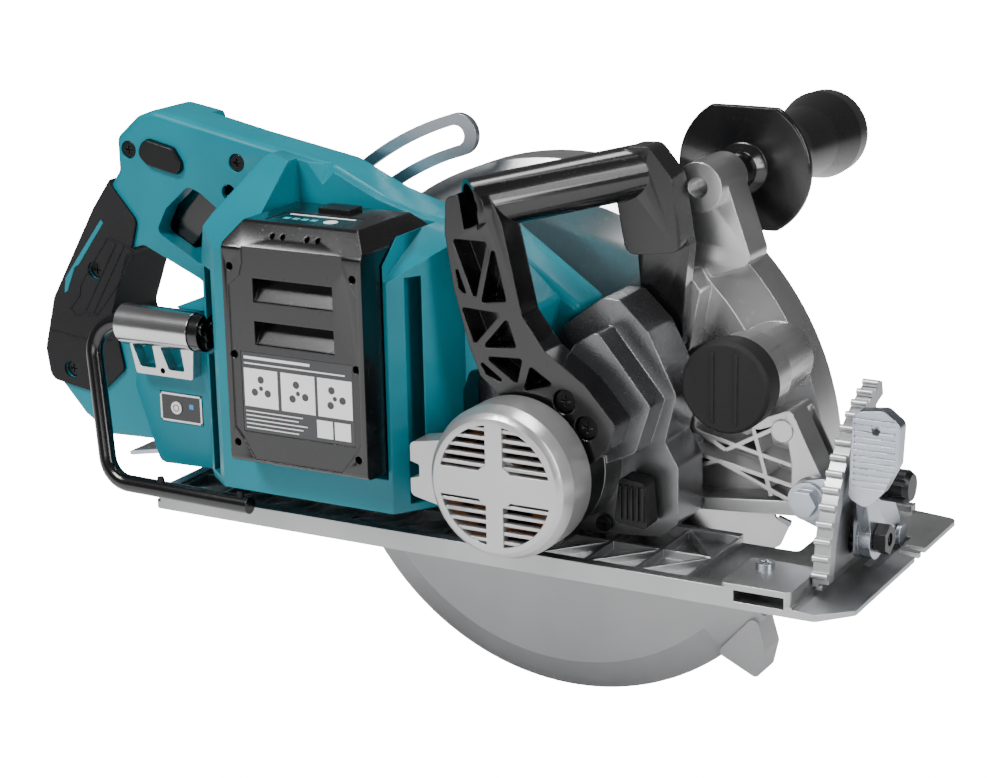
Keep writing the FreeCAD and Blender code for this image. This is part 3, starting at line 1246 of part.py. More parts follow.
def hook_end_cap():
    return rod(Vector(-159.6, hook_axis_y, hook_axis_z), along_x, 10, 6).cut(
        rod(Vector(-160, hook_axis_y, hook_axis_z), along_x, hook_radius + fit_gap, 3))


def status_panel():
    return box(-189.8, -163.2, -98.4, -96.6, 44.7, 60.3)


# ---- shaft lock ----
def shaft_lock():
    button = plate_y([(70, 24), (73, 47), (86, 45), (88, 22)], -87, -75.6, 2.5)
    ribs = [box(70 + 3 * n, 71.4 + 3 * n, -88.4, -86, 26, 43) for n in range(1, 6)]
    stem = rod(Vector(shaft_lock_x, -76, shaft_lock_z), along_y, 3, 32)
    return fuse_all([button, stem] + ribs)


os.makedirs("parts", exist_ok=True)
save("base_plate", base_plate())
save("fence_screw", fence_screw())
save("bevel_pins", bevel_pins())
save("front_bevel_bracket", front_bevel_bracket())
save("front_link_plate", front_link_plate())
save("bevel_clamp_bolt", bevel_clamp_bolt())
save("bevel_washer", bevel_washer())
save("bevel_lever", bevel_lever())
save("bevel_stop_knob", bevel_stop_knob())
save("depth_pivot_pin", depth_pivot_pin())
save("rear_bevel_bracket", rear_bevel_bracket())
save("depth_guide", depth_guide())
save("depth_lock_bolt", depth_lock_bolt())
save("depth_lever", depth_lever())
save("blade_case", blade_case())
save("lower_guard", lower_guard())
save("guard_lever", guard_lever())
save("guard_spring", guard_spring())
save("saw_blade", saw_blade())
save("blade_tips", Part.makeCompound(blade_tips()))
save("spindle", spindle())
save("blade_flanges", Part.makeCompound([inner_flange(), outer_flange()]))
save("blade_bolt", blade_bolt())
save("spindle_gear", spindle_gear())
save("rotor_shaft", rotor_shaft())
save("rotor_core", rotor_core())
save("cooling_fan", cooling_fan())
save("stator", stator())
save("spindle_bearings", spindle_bearings())
save("rotor_bearings", rotor_bearings())
save("gear_housing", gear_housing())
save("case_screws", Part.makeCompound(case_screws()))
save("bearing_retainer", bearing_retainer())
save("motor_housing", motor_housing())
save("motor_end_cover", motor_end_cover())
save("right_shell", right_shell())
save("left_shell", left_shell())
save("housing_screws", Part.makeCompound(housing_screws()))
save("rear_grip", rear_grip())
save("switch_trigger", switch_trigger())
save("trigger_pin", trigger_pin())
save("main_switch", main_switch())
save("lock_off_button", lock_off_button())
save("battery_case", battery_case())
save("battery_cells", Part.makeCompound(battery_cells()))
save("battery_label", battery_label())
save("battery_gauge", battery_gauge())
save("battery_release", battery_release())
save("terminal_block", terminal_block())
save("motor_controller", motor_controller())
save("front_handle", front_handle())
save("handle_screws", Part.makeCompound(handle_screws()))
save("side_grip", side_grip())
save("side_grip_stud", side_grip_stud())
save("dust_cap", dust_cap())
save("hook_bracket", hook_bracket())
save("hook_rod", hook_rod())
save("hook_end_cap", hook_end_cap())
save("status_panel", status_panel())
save("shaft_lock", shaft_lock())
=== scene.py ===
import json
import math

import bmesh
import bpy
from mathutils import Matrix, Vector


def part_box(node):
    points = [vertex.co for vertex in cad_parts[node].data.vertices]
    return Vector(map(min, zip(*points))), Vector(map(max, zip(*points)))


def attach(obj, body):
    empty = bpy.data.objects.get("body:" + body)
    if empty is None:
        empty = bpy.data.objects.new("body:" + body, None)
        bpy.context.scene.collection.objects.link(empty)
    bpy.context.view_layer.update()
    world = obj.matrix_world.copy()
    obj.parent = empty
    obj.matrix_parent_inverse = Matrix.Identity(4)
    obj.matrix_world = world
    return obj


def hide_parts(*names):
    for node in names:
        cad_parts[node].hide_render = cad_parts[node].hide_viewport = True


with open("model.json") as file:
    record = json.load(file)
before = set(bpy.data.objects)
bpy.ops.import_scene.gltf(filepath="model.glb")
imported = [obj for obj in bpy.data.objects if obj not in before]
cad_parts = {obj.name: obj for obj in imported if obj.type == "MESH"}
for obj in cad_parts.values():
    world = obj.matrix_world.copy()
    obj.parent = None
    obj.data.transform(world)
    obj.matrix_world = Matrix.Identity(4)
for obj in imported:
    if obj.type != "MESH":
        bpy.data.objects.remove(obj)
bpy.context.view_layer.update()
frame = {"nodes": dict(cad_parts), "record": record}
nodes = frame["nodes"]
bodyOf = {node: body for body, names in frame["record"]["behaviour"]["bodies"].items()
          for node in names}
slotOf = {part["node"]: part["material_slot"] for part in frame["record"]["subparts"]}
mm = 0.001


# shader effects that several finishes share
def newGroup(name, inputs, outputs):
    group = bpy.data.node_groups.new(name, "ShaderNodeTree")
    for label, kind, value in inputs:
        socket = group.interface.new_socket(label, in_out="INPUT", socket_type=kind)
        if value is not None:
            socket.default_value = value
    for label, kind in outputs:
        group.interface.new_socket(label, in_out="OUTPUT", socket_type=kind)
    return group, group.nodes.new("NodeGroupInput"), group.nodes.new("NodeGroupOutput")


def mathNode(tree, kind, first, second=None, clamp=False):
    node = tree.nodes.new("ShaderNodeMath")
    node.operation = kind
    node.use_clamp = clamp
    for index, value in enumerate((first, second)):
        if value is None:
            continue
        if isinstance(value, (int, float)):
            node.inputs[index].default_value = value
        else:
            tree.links.new(value, node.inputs[index])
    return node.outputs[0]


def noiseNode(tree, coords, scale, detail=3.0, rough=0.55):
    node = tree.nodes.new("ShaderNodeTexNoise")
    tree.links.new(coords, node.inputs["Vector"])
    for label, value in (("Scale", scale), ("Detail", detail), ("Roughness", rough)):
        if isinstance(value, (int, float)):
            node.inputs[label].default_value = value
        else:
            tree.links.new(value, node.inputs[label])
    return node.outputs["Fac"]


def edgeWearGroup():
    # rubbed edges: a rounded normal against the true one, broken up by patches
    group, inp, out = newGroup("edgeWear", [("Radius", "NodeSocketFloat", 0.001),
                                            ("Amount", "NodeSocketFloat", 0.5),
                                            ("Patch Scale", "NodeSocketFloat", 60.0)],
                               [("Mask", "NodeSocketFloat"), ("Normal", "NodeSocketVector")])
    coords = group.nodes.new("ShaderNodeTexCoord")
    geometry = group.nodes.new("ShaderNodeNewGeometry")
    round_ = group.nodes.new("ShaderNodeBevel")
    round_.samples = 4
    group.links.new(inp.outputs["Radius"], round_.inputs["Radius"])
    dot = group.nodes.new("ShaderNodeVectorMath")
    dot.operation = "DOT_PRODUCT"
    group.links.new(round_.outputs["Normal"], dot.inputs[0])
    group.links.new(geometry.outputs["Normal"], dot.inputs[1])
    edge = mathNode(group, "SUBTRACT", 1.0, dot.outputs["Value"], True)
    edge = mathNode(group, "MULTIPLY", edge, 6.0, True)
    patch = noiseNode(group, coords.outputs["Object"], inp.outputs["Patch Scale"], 4.0, 0.7)
    patch = mathNode(group, "MULTIPLY", mathNode(group, "SUBTRACT", patch, 0.4, True), 4.0, True)
    worn = mathNode(group, "MULTIPLY", mathNode(group, "MULTIPLY", edge, patch), inp.outputs["Amount"], True)
    group.links.new(worn, out.inputs["Mask"])
    group.links.new(round_.outputs["Normal"], out.inputs["Normal"])
    return group


def grainGroup():
    # fine grain, slow clouds of tone and small specks
    group, inp, out = newGroup("fineGrain", [("Grain Scale", "NodeSocketFloat", 900.0),
                                             ("Cloud Scale", "NodeSocketFloat", 14.0)],
                               [("Grain", "NodeSocketFloat"), ("Cloud", "NodeSocketFloat"),
                                ("Specks", "NodeSocketFloat")])
    coords = group.nodes.new("ShaderNodeTexCoord")
    grain = noiseNode(group, coords.outputs["Object"], inp.outputs["Grain Scale"], 2.0, 0.6)
    cloud = noiseNode(group, coords.outputs["Object"], inp.outputs["Cloud Scale"], 3.0, 0.5)
    specks = noiseNode(group, coords.outputs["Object"], 420.0, 1.0, 0.5)
    specks = mathNode(group, "MULTIPLY", mathNode(group, "SUBTRACT", specks, 0.66, True), 8.0, True)
    group.links.new(grain, out.inputs["Grain"])
    group.links.new(cloud, out.inputs["Cloud"])
    group.links.new(specks, out.inputs["Specks"])
    return group


edgeWear = edgeWearGroup()
fineGrain = grainGroup()


# the finishes, with linear colours and sizes of worn edges in millimetres
finishes = {
    "tealBody": dict(color=(0.001, 0.180, 0.232), dark=(0.0005, 0.140, 0.185), shine=0.28, rough=0.34,
                     grain=1500, bump=0.10, wear=(0.05, 0.38, 0.45), worn=0.2, edge=0.9, coat=0.04),
    "blackPlastic": dict(color=(0.006, 0.006, 0.0065), dark=(0.002, 0.002, 0.0025), shine=0.28,
                         rough=0.36, grain=1400, bump=0.12, wear=(0.06, 0.06, 0.06), worn=0.2, edge=0.7,
                         coat=0.03),
    "glossBlack": dict(color=(0.004, 0.004, 0.0045), dark=(0.002, 0.002, 0.0025), rough=0.22, grain=700,
                       bump=0.05, wear=(0.05, 0.05, 0.05), worn=0.25, edge=1.0, coat=0.35),
    "gripRubber": dict(color=(0.014, 0.014, 0.015), dark=(0.008, 0.008, 0.009), shine=0.22, rough=0.66,
                       grain=1100, bump=0.25, wear=(0.06, 0.06, 0.06), worn=0.3, edge=1.2, coat=0.0),
    "capRubber": dict(color=(0.010, 0.010, 0.010), dark=(0.006, 0.006, 0.006), shine=0.25, rough=0.60,
                      grain=1000, bump=0.2, wear=(0.05, 0.05, 0.05), worn=0.3, edge=0.8, coat=0.0),
    "castBase": dict(color=(0.46, 0.465, 0.47), dark=(0.34, 0.345, 0.35), rough=0.38, metal=1.0,
                     grain=900, bump=0.20, wear=(0.80, 0.80, 0.80), worn=0.6, edge=0.6),
    "guardPaint": dict(color=(0.58, 0.58, 0.585), dark=(0.48, 0.48, 0.485), rough=0.29, metal=0.95,
                       grain=1300, bump=0.10, wear=(0.85, 0.85, 0.85), worn=0.4, edge=0.8),
    "guardGrey": dict(color=(0.40, 0.402, 0.412), dark=(0.34, 0.342, 0.35), rough=0.48, metal=0.55,
                      grain=1200, bump=0.12, wear=(0.5, 0.5, 0.5), worn=0.4, edge=0.7),
    "gearCase": dict(color=(0.20, 0.202, 0.208), dark=(0.12, 0.122, 0.128), rough=0.27, metal=0.9,
                     grain=800, bump=0.22, wear=(0.62, 0.62, 0.62), worn=0.5, edge=0.9),
    "motorGrille": dict(color=(0.50, 0.50, 0.505), dark=(0.42, 0.42, 0.425), rough=0.30, metal=0.75,
                        grain=1500, bump=0.08, wear=(0.8, 0.8, 0.8), worn=0.3, edge=0.6, coat=0.1),
    "zincSteel": dict(color=(0.52, 0.55, 0.60), dark=(0.38, 0.42, 0.48), rough=0.27, metal=1.0,
                      grain=600, bump=0.08, wear=(0.85, 0.85, 0.85), worn=0.5, edge=0.4),
    "brightSteel": dict(color=(0.70, 0.70, 0.71), dark=(0.56, 0.56, 0.57), rough=0.20, metal=1.0,
                        grain=700, bump=0.06, wear=(0.9, 0.9, 0.9), worn=0.4, edge=0.5),
    "bladeSteel": dict(color=(0.50, 0.50, 0.51), dark=(0.36, 0.36, 0.37), rough=0.28, metal=1.0,
                       grain=500, bump=0.10, wear=(0.85, 0.85, 0.85), worn=0.4, edge=0.2),
    "carbide": dict(color=(0.30, 0.30, 0.31), dark=(0.2, 0.2, 0.21), rough=0.30, metal=1.0, grain=900,
                    bump=0.05, wear=(0.7, 0.7, 0.7), worn=0.4, edge=0.2),
    "coreSteel": dict(color=(0.20, 0.20, 0.21), dark=(0.12, 0.12, 0.13), rough=0.40, metal=1.0,
                      grain=900, bump=0.1, wear=(0.5, 0.5, 0.5), worn=0.4, edge=0.4),
    "copperWinding": dict(color=(0.55, 0.20, 0.07), dark=(0.30, 0.10, 0.04), rough=0.35, metal=1.0,
                          grain=900, bump=0.3, wear=(0.8, 0.4, 0.2), worn=0.3, edge=0.4),
    "contactBrass": dict(color=(0.65, 0.48, 0.20), dark=(0.45, 0.32, 0.13), rough=0.30, metal=1.0,
                         grain=800, bump=0.1, wear=(0.85, 0.7, 0.4), worn=0.3, edge=0.3),
    "boardGreen": dict(color=(0.01, 0.08, 0.03), dark=(0.005, 0.04, 0.02), rough=0.45, grain=700,
                       bump=0.2, wear=(0.05, 0.2, 0.1), worn=0.2, edge=0.3),
    "labelGrey": dict(color=(0.040, 0.041, 0.044), dark=(0.030, 0.031, 0.033), rough=0.40, grain=1500,
                      bump=0.03, wear=(0.10, 0.10, 0.10), worn=0.3, edge=0.2),
    "darkScrew": dict(color=(0.030, 0.030, 0.032), dark=(0.018, 0.018, 0.019), rough=0.32, metal=0.9,
                      grain=700, bump=0.08, wear=(0.30, 0.30, 0.30), worn=0.5, edge=0.3),
    "paleMark": dict(color=(0.72, 0.72, 0.72), dark=(0.62, 0.62, 0.62), rough=0.45, grain=1500,
                     bump=0.03, wear=(0.5, 0.5, 0.5), worn=0.3, edge=0.1),
    "blueMark": dict(color=(0.02, 0.30, 0.62), dark=(0.015, 0.22, 0.5), rough=0.35, grain=1500,
                     bump=0.03, wear=(0.1, 0.4, 0.7), worn=0.2, edge=0.1),
    "gaugeTeal": dict(color=(0.06, 0.50, 0.52), dark=(0.04, 0.40, 0.42), rough=0.25, grain=1500,
                      bump=0.02, wear=(0.2, 0.6, 0.6), worn=0.2, edge=0.1, coat=0.4),
}


surface = dict(cloudLow=0.3, cloudHigh=0.7, roughSpread=0.16, speckRough=0.08, grainDepth=0.0002,
               coatRough=0.12, shine=0.5, cloudScale=16.0)


def makeMaterial(name, spec):
    material = bpy.data.materials.new(name)
    material.use_nodes = True
    tree = material.node_tree
    shader = tree.nodes["Principled BSDF"]
    grain = tree.nodes.new("ShaderNodeGroup")
    grain.node_tree = fineGrain
    grain.inputs["Grain Scale"].default_value = spec["grain"]
    grain.inputs["Cloud Scale"].default_value = surface["cloudScale"]
    wear = tree.nodes.new("ShaderNodeGroup")
    wear.node_tree = edgeWear
    wear.inputs["Radius"].default_value = spec["edge"] * mm
    wear.inputs["Amount"].default_value = spec["worn"]
    ramp = tree.nodes.new("ShaderNodeMapRange")
    ramp.inputs["From Min"].default_value = surface["cloudLow"]
    ramp.inputs["From Max"].default_value = surface["cloudHigh"]
    tree.links.new(grain.outputs["Cloud"], ramp.inputs["Value"])
    tone = tree.nodes.new("ShaderNodeMix")
    tone.data_type = "RGBA"
    tree.links.new(ramp.outputs["Result"], tone.inputs["Factor"])
    tone.inputs["A"].default_value = (*spec["dark"], 1.0)
    tone.inputs["B"].default_value = (*spec["color"], 1.0)
    edgeTone = tree.nodes.new("ShaderNodeMix")
    edgeTone.data_type = "RGBA"
    tree.links.new(wear.outputs["Mask"], edgeTone.inputs["Factor"])
    tree.links.new(tone.outputs["Result"], edgeTone.inputs["A"])
    edgeTone.inputs["B"].default_value = (*spec["wear"], 1.0)
    tree.links.new(edgeTone.outputs["Result"], shader.inputs["Base Color"])
    rough = mathNode(tree, "MULTIPLY_ADD", grain.outputs["Cloud"], surface["roughSpread"])
    rough.node.inputs[2].default_value = spec["rough"] - surface["roughSpread"] / 2
    specks = mathNode(tree, "MULTIPLY", grain.outputs["Specks"], surface["speckRough"])
    tree.links.new(mathNode(tree, "ADD", rough, specks, True), shader.inputs["Roughness"])
    bump = tree.nodes.new("ShaderNodeBump")
    bump.inputs["Strength"].default_value = spec["bump"]
    bump.inputs["Distance"].default_value = surface["grainDepth"]
    tree.links.new(grain.outputs["Grain"], bump.inputs["Height"])
    tree.links.new(wear.outputs["Normal"], bump.inputs["Normal"])
    tree.links.new(bump.outputs["Normal"], shader.inputs["Normal"])
    shader.inputs["Metallic"].default_value = spec.get("metal", 0.0)
    shader.inputs["Coat Weight"].default_value = spec.get("coat", 0.0)
    shader.inputs["Coat Roughness"].default_value = surface["coatRough"]
    shader.inputs["Specular IOR Level"].default_value = spec.get("shine", surface["shine"])
    return material


materials = {name: makeMaterial(name, spec) for name, spec in finishes.items()}
finishOf = {
    "cast_base": "castBase", "zinc_steel": "zincSteel", "bright_steel": "brightSteel",
    "guard_paint": "guardPaint", "guard_grey": "guardGrey", "gear_case": "gearCase",
    "blade_steel": "bladeSteel", "carbide": "carbide", "core_steel": "coreSteel", "copper": "copperWinding",
    "teal_plastic": "tealBody", "black_plastic": "blackPlastic", "gloss_black": "glossBlack",
    "silver_plastic": "motorGrille", "grip_rubber": "gripRubber", "cap_rubber": "capRubber",
    "label_grey": "labelGrey", "gauge_teal": "gaugeTeal", "panel_black": "glossBlack",
    "brass_pins": "contactBrass", "board_green": "boardGreen",
}
print("materials made")

ownFinish = {"housing_screws": "darkScrew", "handle_screws": "darkScrew", "bevel_clamp_bolt": "darkScrew",
             "bevel_stop_knob": "darkScrew", "hook_end_cap": "glossBlack", "side_grip": "glossBlack",
             "case_screws": "darkScrew", "battery_gauge": "glossBlack", "switch_trigger": "glossBlack"}


def finishFor(name):
    return ownFinish.get(name, finishOf[slotOf[name]])


for name, node in nodes.items():
    node.data.materials.clear()
    node.data.materials.append(materials[finishFor(name)])


# making one piece and setting it on its body
def addPiece(bm, name, body, finish, bevel=0.0, segments=2, smooth=True, angle=32):
    bmesh.ops.recalc_face_normals(bm, faces=bm.faces)
    mesh = bpy.data.meshes.new(name)
    bm.to_mesh(mesh)
    bm.free()
    piece = bpy.data.objects.new(name, mesh)
    bpy.context.scene.collection.objects.link(piece)
    piece.data.materials.append(materials[finish])
    if smooth:
        mesh.shade_smooth()
        mesh.set_sharp_from_angle(angle=math.radians(angle))
    if bevel > 0:
        edge = piece.modifiers.new("edges", "BEVEL")
        edge.width = bevel * mm
        edge.segments = segments
        edge.limit_method = "ANGLE"
        edge.angle_limit = math.radians(angle)
        edge.harden_normals = True
    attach(piece, body)
    return piece


merging = dict(distance=0.00002, flatAngle=1.2)  # metres and degrees


def softened(name, bevel):
    # a merged copy of the moulded shape with its edges rounded
    bm = bmesh.new()
    bm.from_mesh(nodes[name].data)
    bmesh.ops.remove_doubles(bm, verts=bm.verts, dist=merging["distance"])
    bmesh.ops.dissolve_limit(bm, angle_limit=math.radians(merging["flatAngle"]), verts=bm.verts,
                             edges=bm.edges)
    piece = addPiece(bm, name + "Soft", bodyOf[name], finishFor(name), bevel)
    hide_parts(name)


# width of each softened edge, in millimetres
softEdges = {
    "right_shell": 1.2, "left_shell": 1.2, "rear_grip": 2.0, "battery_case": 0.8, "front_handle": 1.0,
    "gear_housing": 0.9, "motor_end_cover": 0.5, "motor_housing": 0.8, "blade_case": 0.6, "lower_guard": 0.4,
    "base_plate": 0.5, "side_grip": 0.8, "switch_trigger": 0.8, "lock_off_button": 0.8, "bevel_lever": 0.6,
    "hook_bracket": 0.6, "shaft_lock": 0.6, "dust_cap": 0.8, "front_bevel_bracket": 0.5,
}
for name, width in softEdges.items():
    softened(name, width)
print("moulded pieces softened")


# small shapes the details are made of, all in millimetres
def turnTo(axis):
    return Vector((0, 0, 1)).rotation_difference(Vector(axis)).to_matrix().to_4x4()


def slab(bm, low, high):
    low, high = Vector(low) * mm, Vector(high) * mm
    made = bmesh.ops.create_cube(bm, size=1.0)["verts"]
    bmesh.ops.scale(bm, verts=made, vec=high - low)
    bmesh.ops.translate(bm, verts=made, vec=(low + high) / 2)


def disc(bm, centre, axis, radius, depth, sides=32, topRadius=None):
    # a round plate or cone that starts at the centre and grows along the axis
    top = radius if topRadius is None else topRadius
    lift = Matrix.Translation((0, 0, depth * mm / 2))
    place = Matrix.Translation(Vector(centre) * mm) @ turnTo(axis) @ lift
    bmesh.ops.create_cone(bm, cap_ends=True, segments=sides, radius1=radius * mm, radius2=top * mm,
                          depth=depth * mm, matrix=place)


def ring(bm, centre, axis, outer, inner, depth, sides=40):
    before = set(bm.verts)
    spots = [bm.verts.new(Vector((r, 0, z)) * mm)
             for r, z in ((inner, 0), (outer, 0), (outer, depth), (inner, depth))]
    edges = [bm.edges.new((spots[i], spots[(i + 1) % 4])) for i in range(4)]
    bmesh.ops.spin(bm, geom=spots + edges, cent=(0, 0, 0), axis=(0, 0, 1), angle=math.tau,
                   steps=sides, use_merge=True)
    made = [v for v in bm.verts if v not in before]
    bmesh.ops.transform(bm, verts=made, matrix=Matrix.Translation(Vector(centre) * mm) @ turnTo(axis))


def prism(bm, outline, near, far):
    # an outline in X and Z, drawn out along Y from near to far
    face = bm.faces.new([bm.verts.new(Vector((x, near, z)) * mm) for x, z in outline])
    drawn = bmesh.ops.extrude_face_region(bm, geom=[face])["geom"]
    made = [item for item in drawn if isinstance(item, bmesh.types.BMVert)]
    bmesh.ops.translate(bm, verts=made, vec=Vector((0, far - near, 0)) * mm)


def ridge(bm, path, width, near, far, closed=False):
    # a thin raised line along a path on the near side
    count = len(path) if closed else len(path) - 1
    for index in range(count):
        start, end = Vector(path[index]), Vector(path[(index + 1) % len(path)])
        along = (end - start).normalized()
        across = Vector((-along.y, along.x)) * width / 2
        start, end = start - along * width / 2, end + along * width / 2
        prism(bm, [start - across, end - across, end + across, start + across], near, far)


def nodeBox(name):
    return [Vector(corner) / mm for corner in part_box(name)]


# battery label: three printed boxes over lines of plain strokes
label = dict(margin=1.2, boxes=(0.0, 0.335, 0.665), boxShare=0.305, boxLow=0.32, boxHigh=0.80,
             lines=5, linePitch=2.1, lineTall=0.55, ink=0.12, sunk=0.1, dotRing=4.4, dotSize=1.9,
             midDot=1.2, smallBox=9.1, smallPitch=10.2)


def dressLabel():
    low, high = nodeBox("battery_label")
    wide, tall, face = high.x - low.x, high.z - low.z, low.y
    front, rear = face - label["ink"], face + label["sunk"]
    bm = bmesh.new()
    for start in label["boxes"]:
        left = low.x + label["margin"] + start * wide
        slab(bm, (left, front, low.z + label["boxLow"] * tall),
             (left + wide * label["boxShare"], rear, low.z + label["boxHigh"] * tall))
    for step in range(label["lines"]):
        z = low.z + 1.8 + step * label["linePitch"]
        end = low.x + wide * (0.50 + 0.04 * (step % 3))
        slab(bm, (low.x + 1.5, front, z), (end, rear, z + label["lineTall"]))
    slab(bm, (low.x + 1.5, front, high.z - 3.4), (low.x + wide * 0.62, rear, high.z - 2.0))
    slab(bm, (low.x + 1.5, front, high.z - 6.0), (low.x + wide * 0.93, rear, high.z - 5.3))
    for column in (0, 1):
        left = high.x - 21.5 + label["smallPitch"] * column
        slab(bm, (left, front, low.z + 2.0), (left + label["smallBox"], rear, low.z + 11.0))
    addPiece(bm, "labelPrint", "battery", "paleMark", smooth=False)

    bm = bmesh.new()
    for index, start in enumerate(label["boxes"]):
        x = low.x + label["margin"] + start * wide + wide * label["boxShare"] / 2
        z = low.z + (label["boxLow"] + label["boxHigh"]) / 2 * tall
        for turn in range(3):
            angle = math.radians(90 + 120 * turn + 12 * index)
            out, up = label["dotRing"] * math.cos(angle), label["dotRing"] * math.sin(angle)
            spot = (x + out, face - 0.16, z + up)
            disc(bm, spot, (0, 1, 0), label["dotSize"], 0.1, 20)
        disc(bm, (x, face - 0.16, z), (0, 1, 0), label["midDot"], 0.1, 20)
    addPiece(bm, "labelMarks", "battery", "labelGrey", smooth=False)


# battery gauge: four charge bars, a check button and a pale strip
gauge = dict(bars=4, barPitch=5.2, barSize=(3.4, 3.2), button=3.6, buttonX=33.0)


def dressGauge():
    low, high = nodeBox("battery_gauge")
    bm = bmesh.new()
    for step in range(gauge["bars"]):
        x = low.x + 6 + step * gauge["barPitch"]
        slab(bm, (x, low.y + 6, high.z - 0.1),
             (x + gauge["barSize"][0], low.y + 6 + gauge["barSize"][1], high.z + 0.12))
    addPiece(bm, "gaugeBars", "battery", "gaugeTeal", smooth=False)

    bm = bmesh.new()
    disc(bm, (low.x + gauge["buttonX"], low.y + 7.4, high.z - 0.1), (0, 0, 1), gauge["button"], 0.28, 36)
    slab(bm, (low.x + 4, high.y - 4.2, high.z - 0.1), (high.x - 4, high.y - 2.4, high.z + 0.1))
    addPiece(bm, "gaugeButton", "battery", "paleMark", bevel=0.1)


dressLabel()
dressGauge()
print("battery dressed")

# status panel: pale frame, a round button with its ring and one small light
panel = dict(rim=1.1, buttonX=10.5, button=3.4, ringOuter=1.9, ringInner=1.5, light=2.8)


def dressPanel():
    low, high = nodeBox("status_panel")
    rim, middle = panel["rim"], (low.z + high.z) / 2
    bm = bmesh.new()
    sides = ((low.x, low.z, low.x + rim, high.z), (high.x - rim, low.z, high.x, high.z),
             (low.x, low.z, high.x, low.z + rim), (low.x, high.z - rim, high.x, high.z))
    for left, bottom, right, top in sides:
        slab(bm, (left, low.y - 0.12, bottom), (right, low.y + 0.3, top))
    disc(bm, (low.x + panel["buttonX"], low.y - 0.6, middle), (0, 1, 0), panel["button"], 0.9, 36)
    addPiece(bm, "panelBorder", "saw_body", "paleMark", bevel=0.08)

    bm = bmesh.new()
    slab(bm, (high.x - 8.0, low.y - 0.2, middle + 0.2),
         (high.x - 8.0 + panel["light"], low.y + 0.2, middle + 2.8))
    addPiece(bm, "panelLight", "saw_body", "blueMark", bevel=0.08)

    bm = bmesh.new()
    ring(bm, (low.x + panel["buttonX"], low.y - 0.7, middle), (0, 1, 0), panel["ringOuter"],
         panel["ringInner"], 0.3)
    addPiece(bm, "panelIcon", "saw_body", "darkScrew")


dressPanel()
print("status panel dressed")

# rear grip: an accent stripe and raised lines on the near face
grip = dict(faceY=-66.0, line=0.7, proud=0.35,
            stripe=((-247.5, 141), (-246, 139), (-264.5, 114.5), (-267.6, 112.5), (-273.6, 98.6),
                    (-276, 97.5), (-274.6, 106), (-263.5, 120.5)),
            border=((-244, 131), (-226, 126), (-240, 104), (-254, 87.5), (-270, 85.5), (-272.5, 89),
                    (-265.5, 97), (-264.5, 103)),
            grooves=(((-238, 129), (-262, 89)), ((-233, 127.5), (-256.5, 88.5)),
                     ((-288, 75), (-262, 72), (-246, 74))))


def dressGrip():
    front = grip["faceY"] - grip["proud"]
    bm = bmesh.new()
    prism(bm, grip["stripe"], front, grip["faceY"] + 0.4)
    addPiece(bm, "gripStripe", "saw_body", "tealBody", bevel=0.3)

    bm = bmesh.new()
    ridge(bm, grip["border"], grip["line"], front, grip["faceY"] + 0.2, True)
    for path in grip["grooves"]:
        ridge(bm, path, grip["line"], front, grip["faceY"] + 0.2)
    addPiece(bm, "gripLines", "saw_body", "gripRubber", bevel=0.15, segments=1)


dressGrip()
print("grip dressed")

# hook: small pins on the rod and a lobed nut on its barrel
hook = dict(pins=(((-209.5, -103, 100.5), (0, 0, 1)), ((-176, -120, 18.0), (0, 0, 1)),
                  ((-126, -120, 17.5), (0, 0, 1))),
            pinSize=(2.3, 1.7, 3.4), lobes=3, lobeRing=5.4, lobe=3.6, lobeTall=2.2,
            overlap=0.5, ringSize=(4.4, 2.4, 2.6))


def dressHook():
    bm = bmesh.new()
    for centre, axis in hook["pins"]:
        disc(bm, centre, axis, hook["pinSize"][0], hook["pinSize"][2], 20, hook["pinSize"][1])
    addPiece(bm, "hookPins", "hook", "blackPlastic", bevel=0.3)

    low, high = nodeBox("hook_end_cap")
    middle = (low + high) / 2
    bm = bmesh.new()
    for turn in range(hook["lobes"]):
        angle = math.radians(30 + 120 * turn)
        spot = (high.x - hook["overlap"], middle.y + hook["lobeRing"] * math.cos(angle),
                middle.z + hook["lobeRing"] * math.sin(angle))
        disc(bm, spot, (1, 0, 0), hook["lobe"], hook["lobeTall"], 28)
    ring(bm, (high.x - hook["overlap"], middle.y, middle.z), (1, 0, 0), *hook["ringSize"])
    addPiece(bm, "hookNutLobes", "saw_body", "glossBlack", bevel=0.5)


dressHook()
print("hook dressed")


# stage, lamps and camera
def areaLight(name, place, target, size, power):
    data = bpy.data.lights.new(name, "AREA")
    data.shape = "RECTANGLE"
    data.size, data.size_y = size
    data.energy = power
    lamp = bpy.data.objects.new(name, data)
    lamp.location = place
    lamp.rotation_euler = (Vector(target) - Vector(place)).to_track_quat("-Z", "Y").to_euler()
    bpy.context.scene.collection.objects.link(lamp)


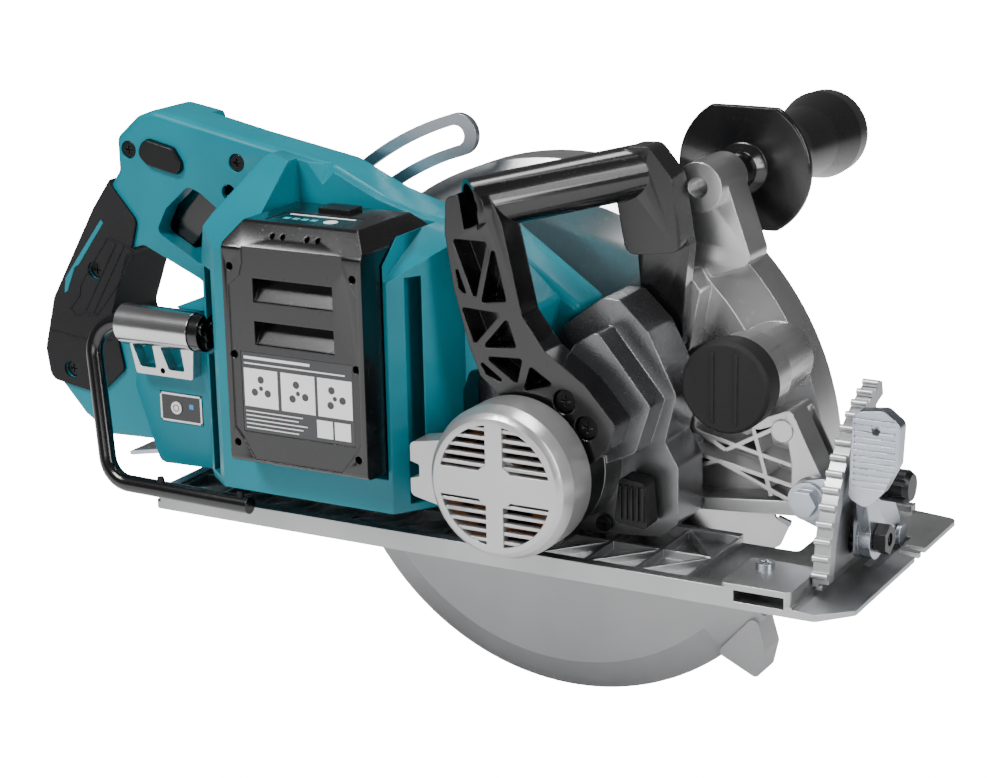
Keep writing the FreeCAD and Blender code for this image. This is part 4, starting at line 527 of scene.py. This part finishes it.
# floor in metres, sky and glow as strengths
studio = dict(floorZ=-0.1065, floorSize=12.0, skySeen=16.0, skyLight=0.15, paperGlow=16.0)
bm = bmesh.new()
bmesh.ops.create_grid(bm, x_segments=1, y_segments=1, size=studio["floorSize"])
bmesh.ops.translate(bm, verts=bm.verts, vec=(0, 0, studio["floorZ"]))
mesh = bpy.data.meshes.new("studioFloor")
bm.to_mesh(mesh)
bm.free()
floor = bpy.data.objects.new("studioFloor", mesh)
bpy.context.scene.collection.objects.link(floor)
paper = bpy.data.materials.new("palePaper")
paper.use_nodes = True
paperShader = paper.node_tree.nodes["Principled BSDF"]
paperShader.inputs["Base Color"].default_value = (0.92, 0.92, 0.92, 1.0)
paperShader.inputs["Roughness"].default_value = 0.85
paperShader.inputs["Emission Color"].default_value = (1.0, 1.0, 1.0, 1.0)
seen = paper.node_tree.nodes.new("ShaderNodeLightPath")
glow = mathNode(paper.node_tree, "MULTIPLY", seen.outputs["Is Camera Ray"], studio["paperGlow"])
paper.node_tree.links.new(glow, paperShader.inputs["Emission Strength"])
floor.data.materials.append(paper)

world = bpy.data.worlds.new("studioWorld")
world.use_nodes = True
sky = world.node_tree
seen = sky.nodes.new("ShaderNodeLightPath")
reach = sky.nodes.new("ShaderNodeMapRange")
reach.inputs["To Min"].default_value = studio["skyLight"]
reach.inputs["To Max"].default_value = studio["skySeen"]
sky.links.new(seen.outputs["Is Camera Ray"], reach.inputs["Value"])
sky.nodes["Background"].inputs["Color"].default_value = (1.0, 1.0, 1.0, 1.0)
sky.links.new(reach.outputs["Result"], sky.nodes["Background"].inputs["Strength"])
bpy.context.scene.world = world

# place, target, size of the panel and power of each lamp
lamps = {
    "keyBox": ((-0.6, -1.2, 1.5), (-0.05, -0.05, 0.06), (0.7, 0.5), 44),
    "topBox": ((0.2, 0.3, 1.6), (0.0, 0.0, 0.05), (1.1, 0.4), 19),
    "lowFill": ((0.2, -1.5, 0.25), (0.0, -0.05, 0.03), (1.0, 0.3), 4),
    "sideStrip": ((1.4, -0.5, 0.7), (0.05, -0.05, 0.06), (0.3, 1.2), 16),
}
for name, (place, target, size, power) in lamps.items():
    areaLight(name, place, target, size, power)
print("stage and lamps set")

view = dict(lens=86.41, place=(0.55885, -1.06696, 0.40529), right=(0.87441947, 0.48478931, -0.01923297),
            up=(-0.11760403, 0.25024969, 0.96101217), back=(0.47070147, -0.83806588, 0.27583638))
cameraData = bpy.data.cameras.new("mainCamera")
cameraData.lens = view["lens"]
cameraData.sensor_width = 36.0
camera = bpy.data.objects.new("mainCamera", cameraData)
turned = Matrix((view["right"], view["up"], view["back"])).transposed().to_4x4()
camera.matrix_world = Matrix.Translation(view["place"]) @ turned
bpy.context.scene.collection.objects.link(camera)
bpy.context.scene.camera = camera
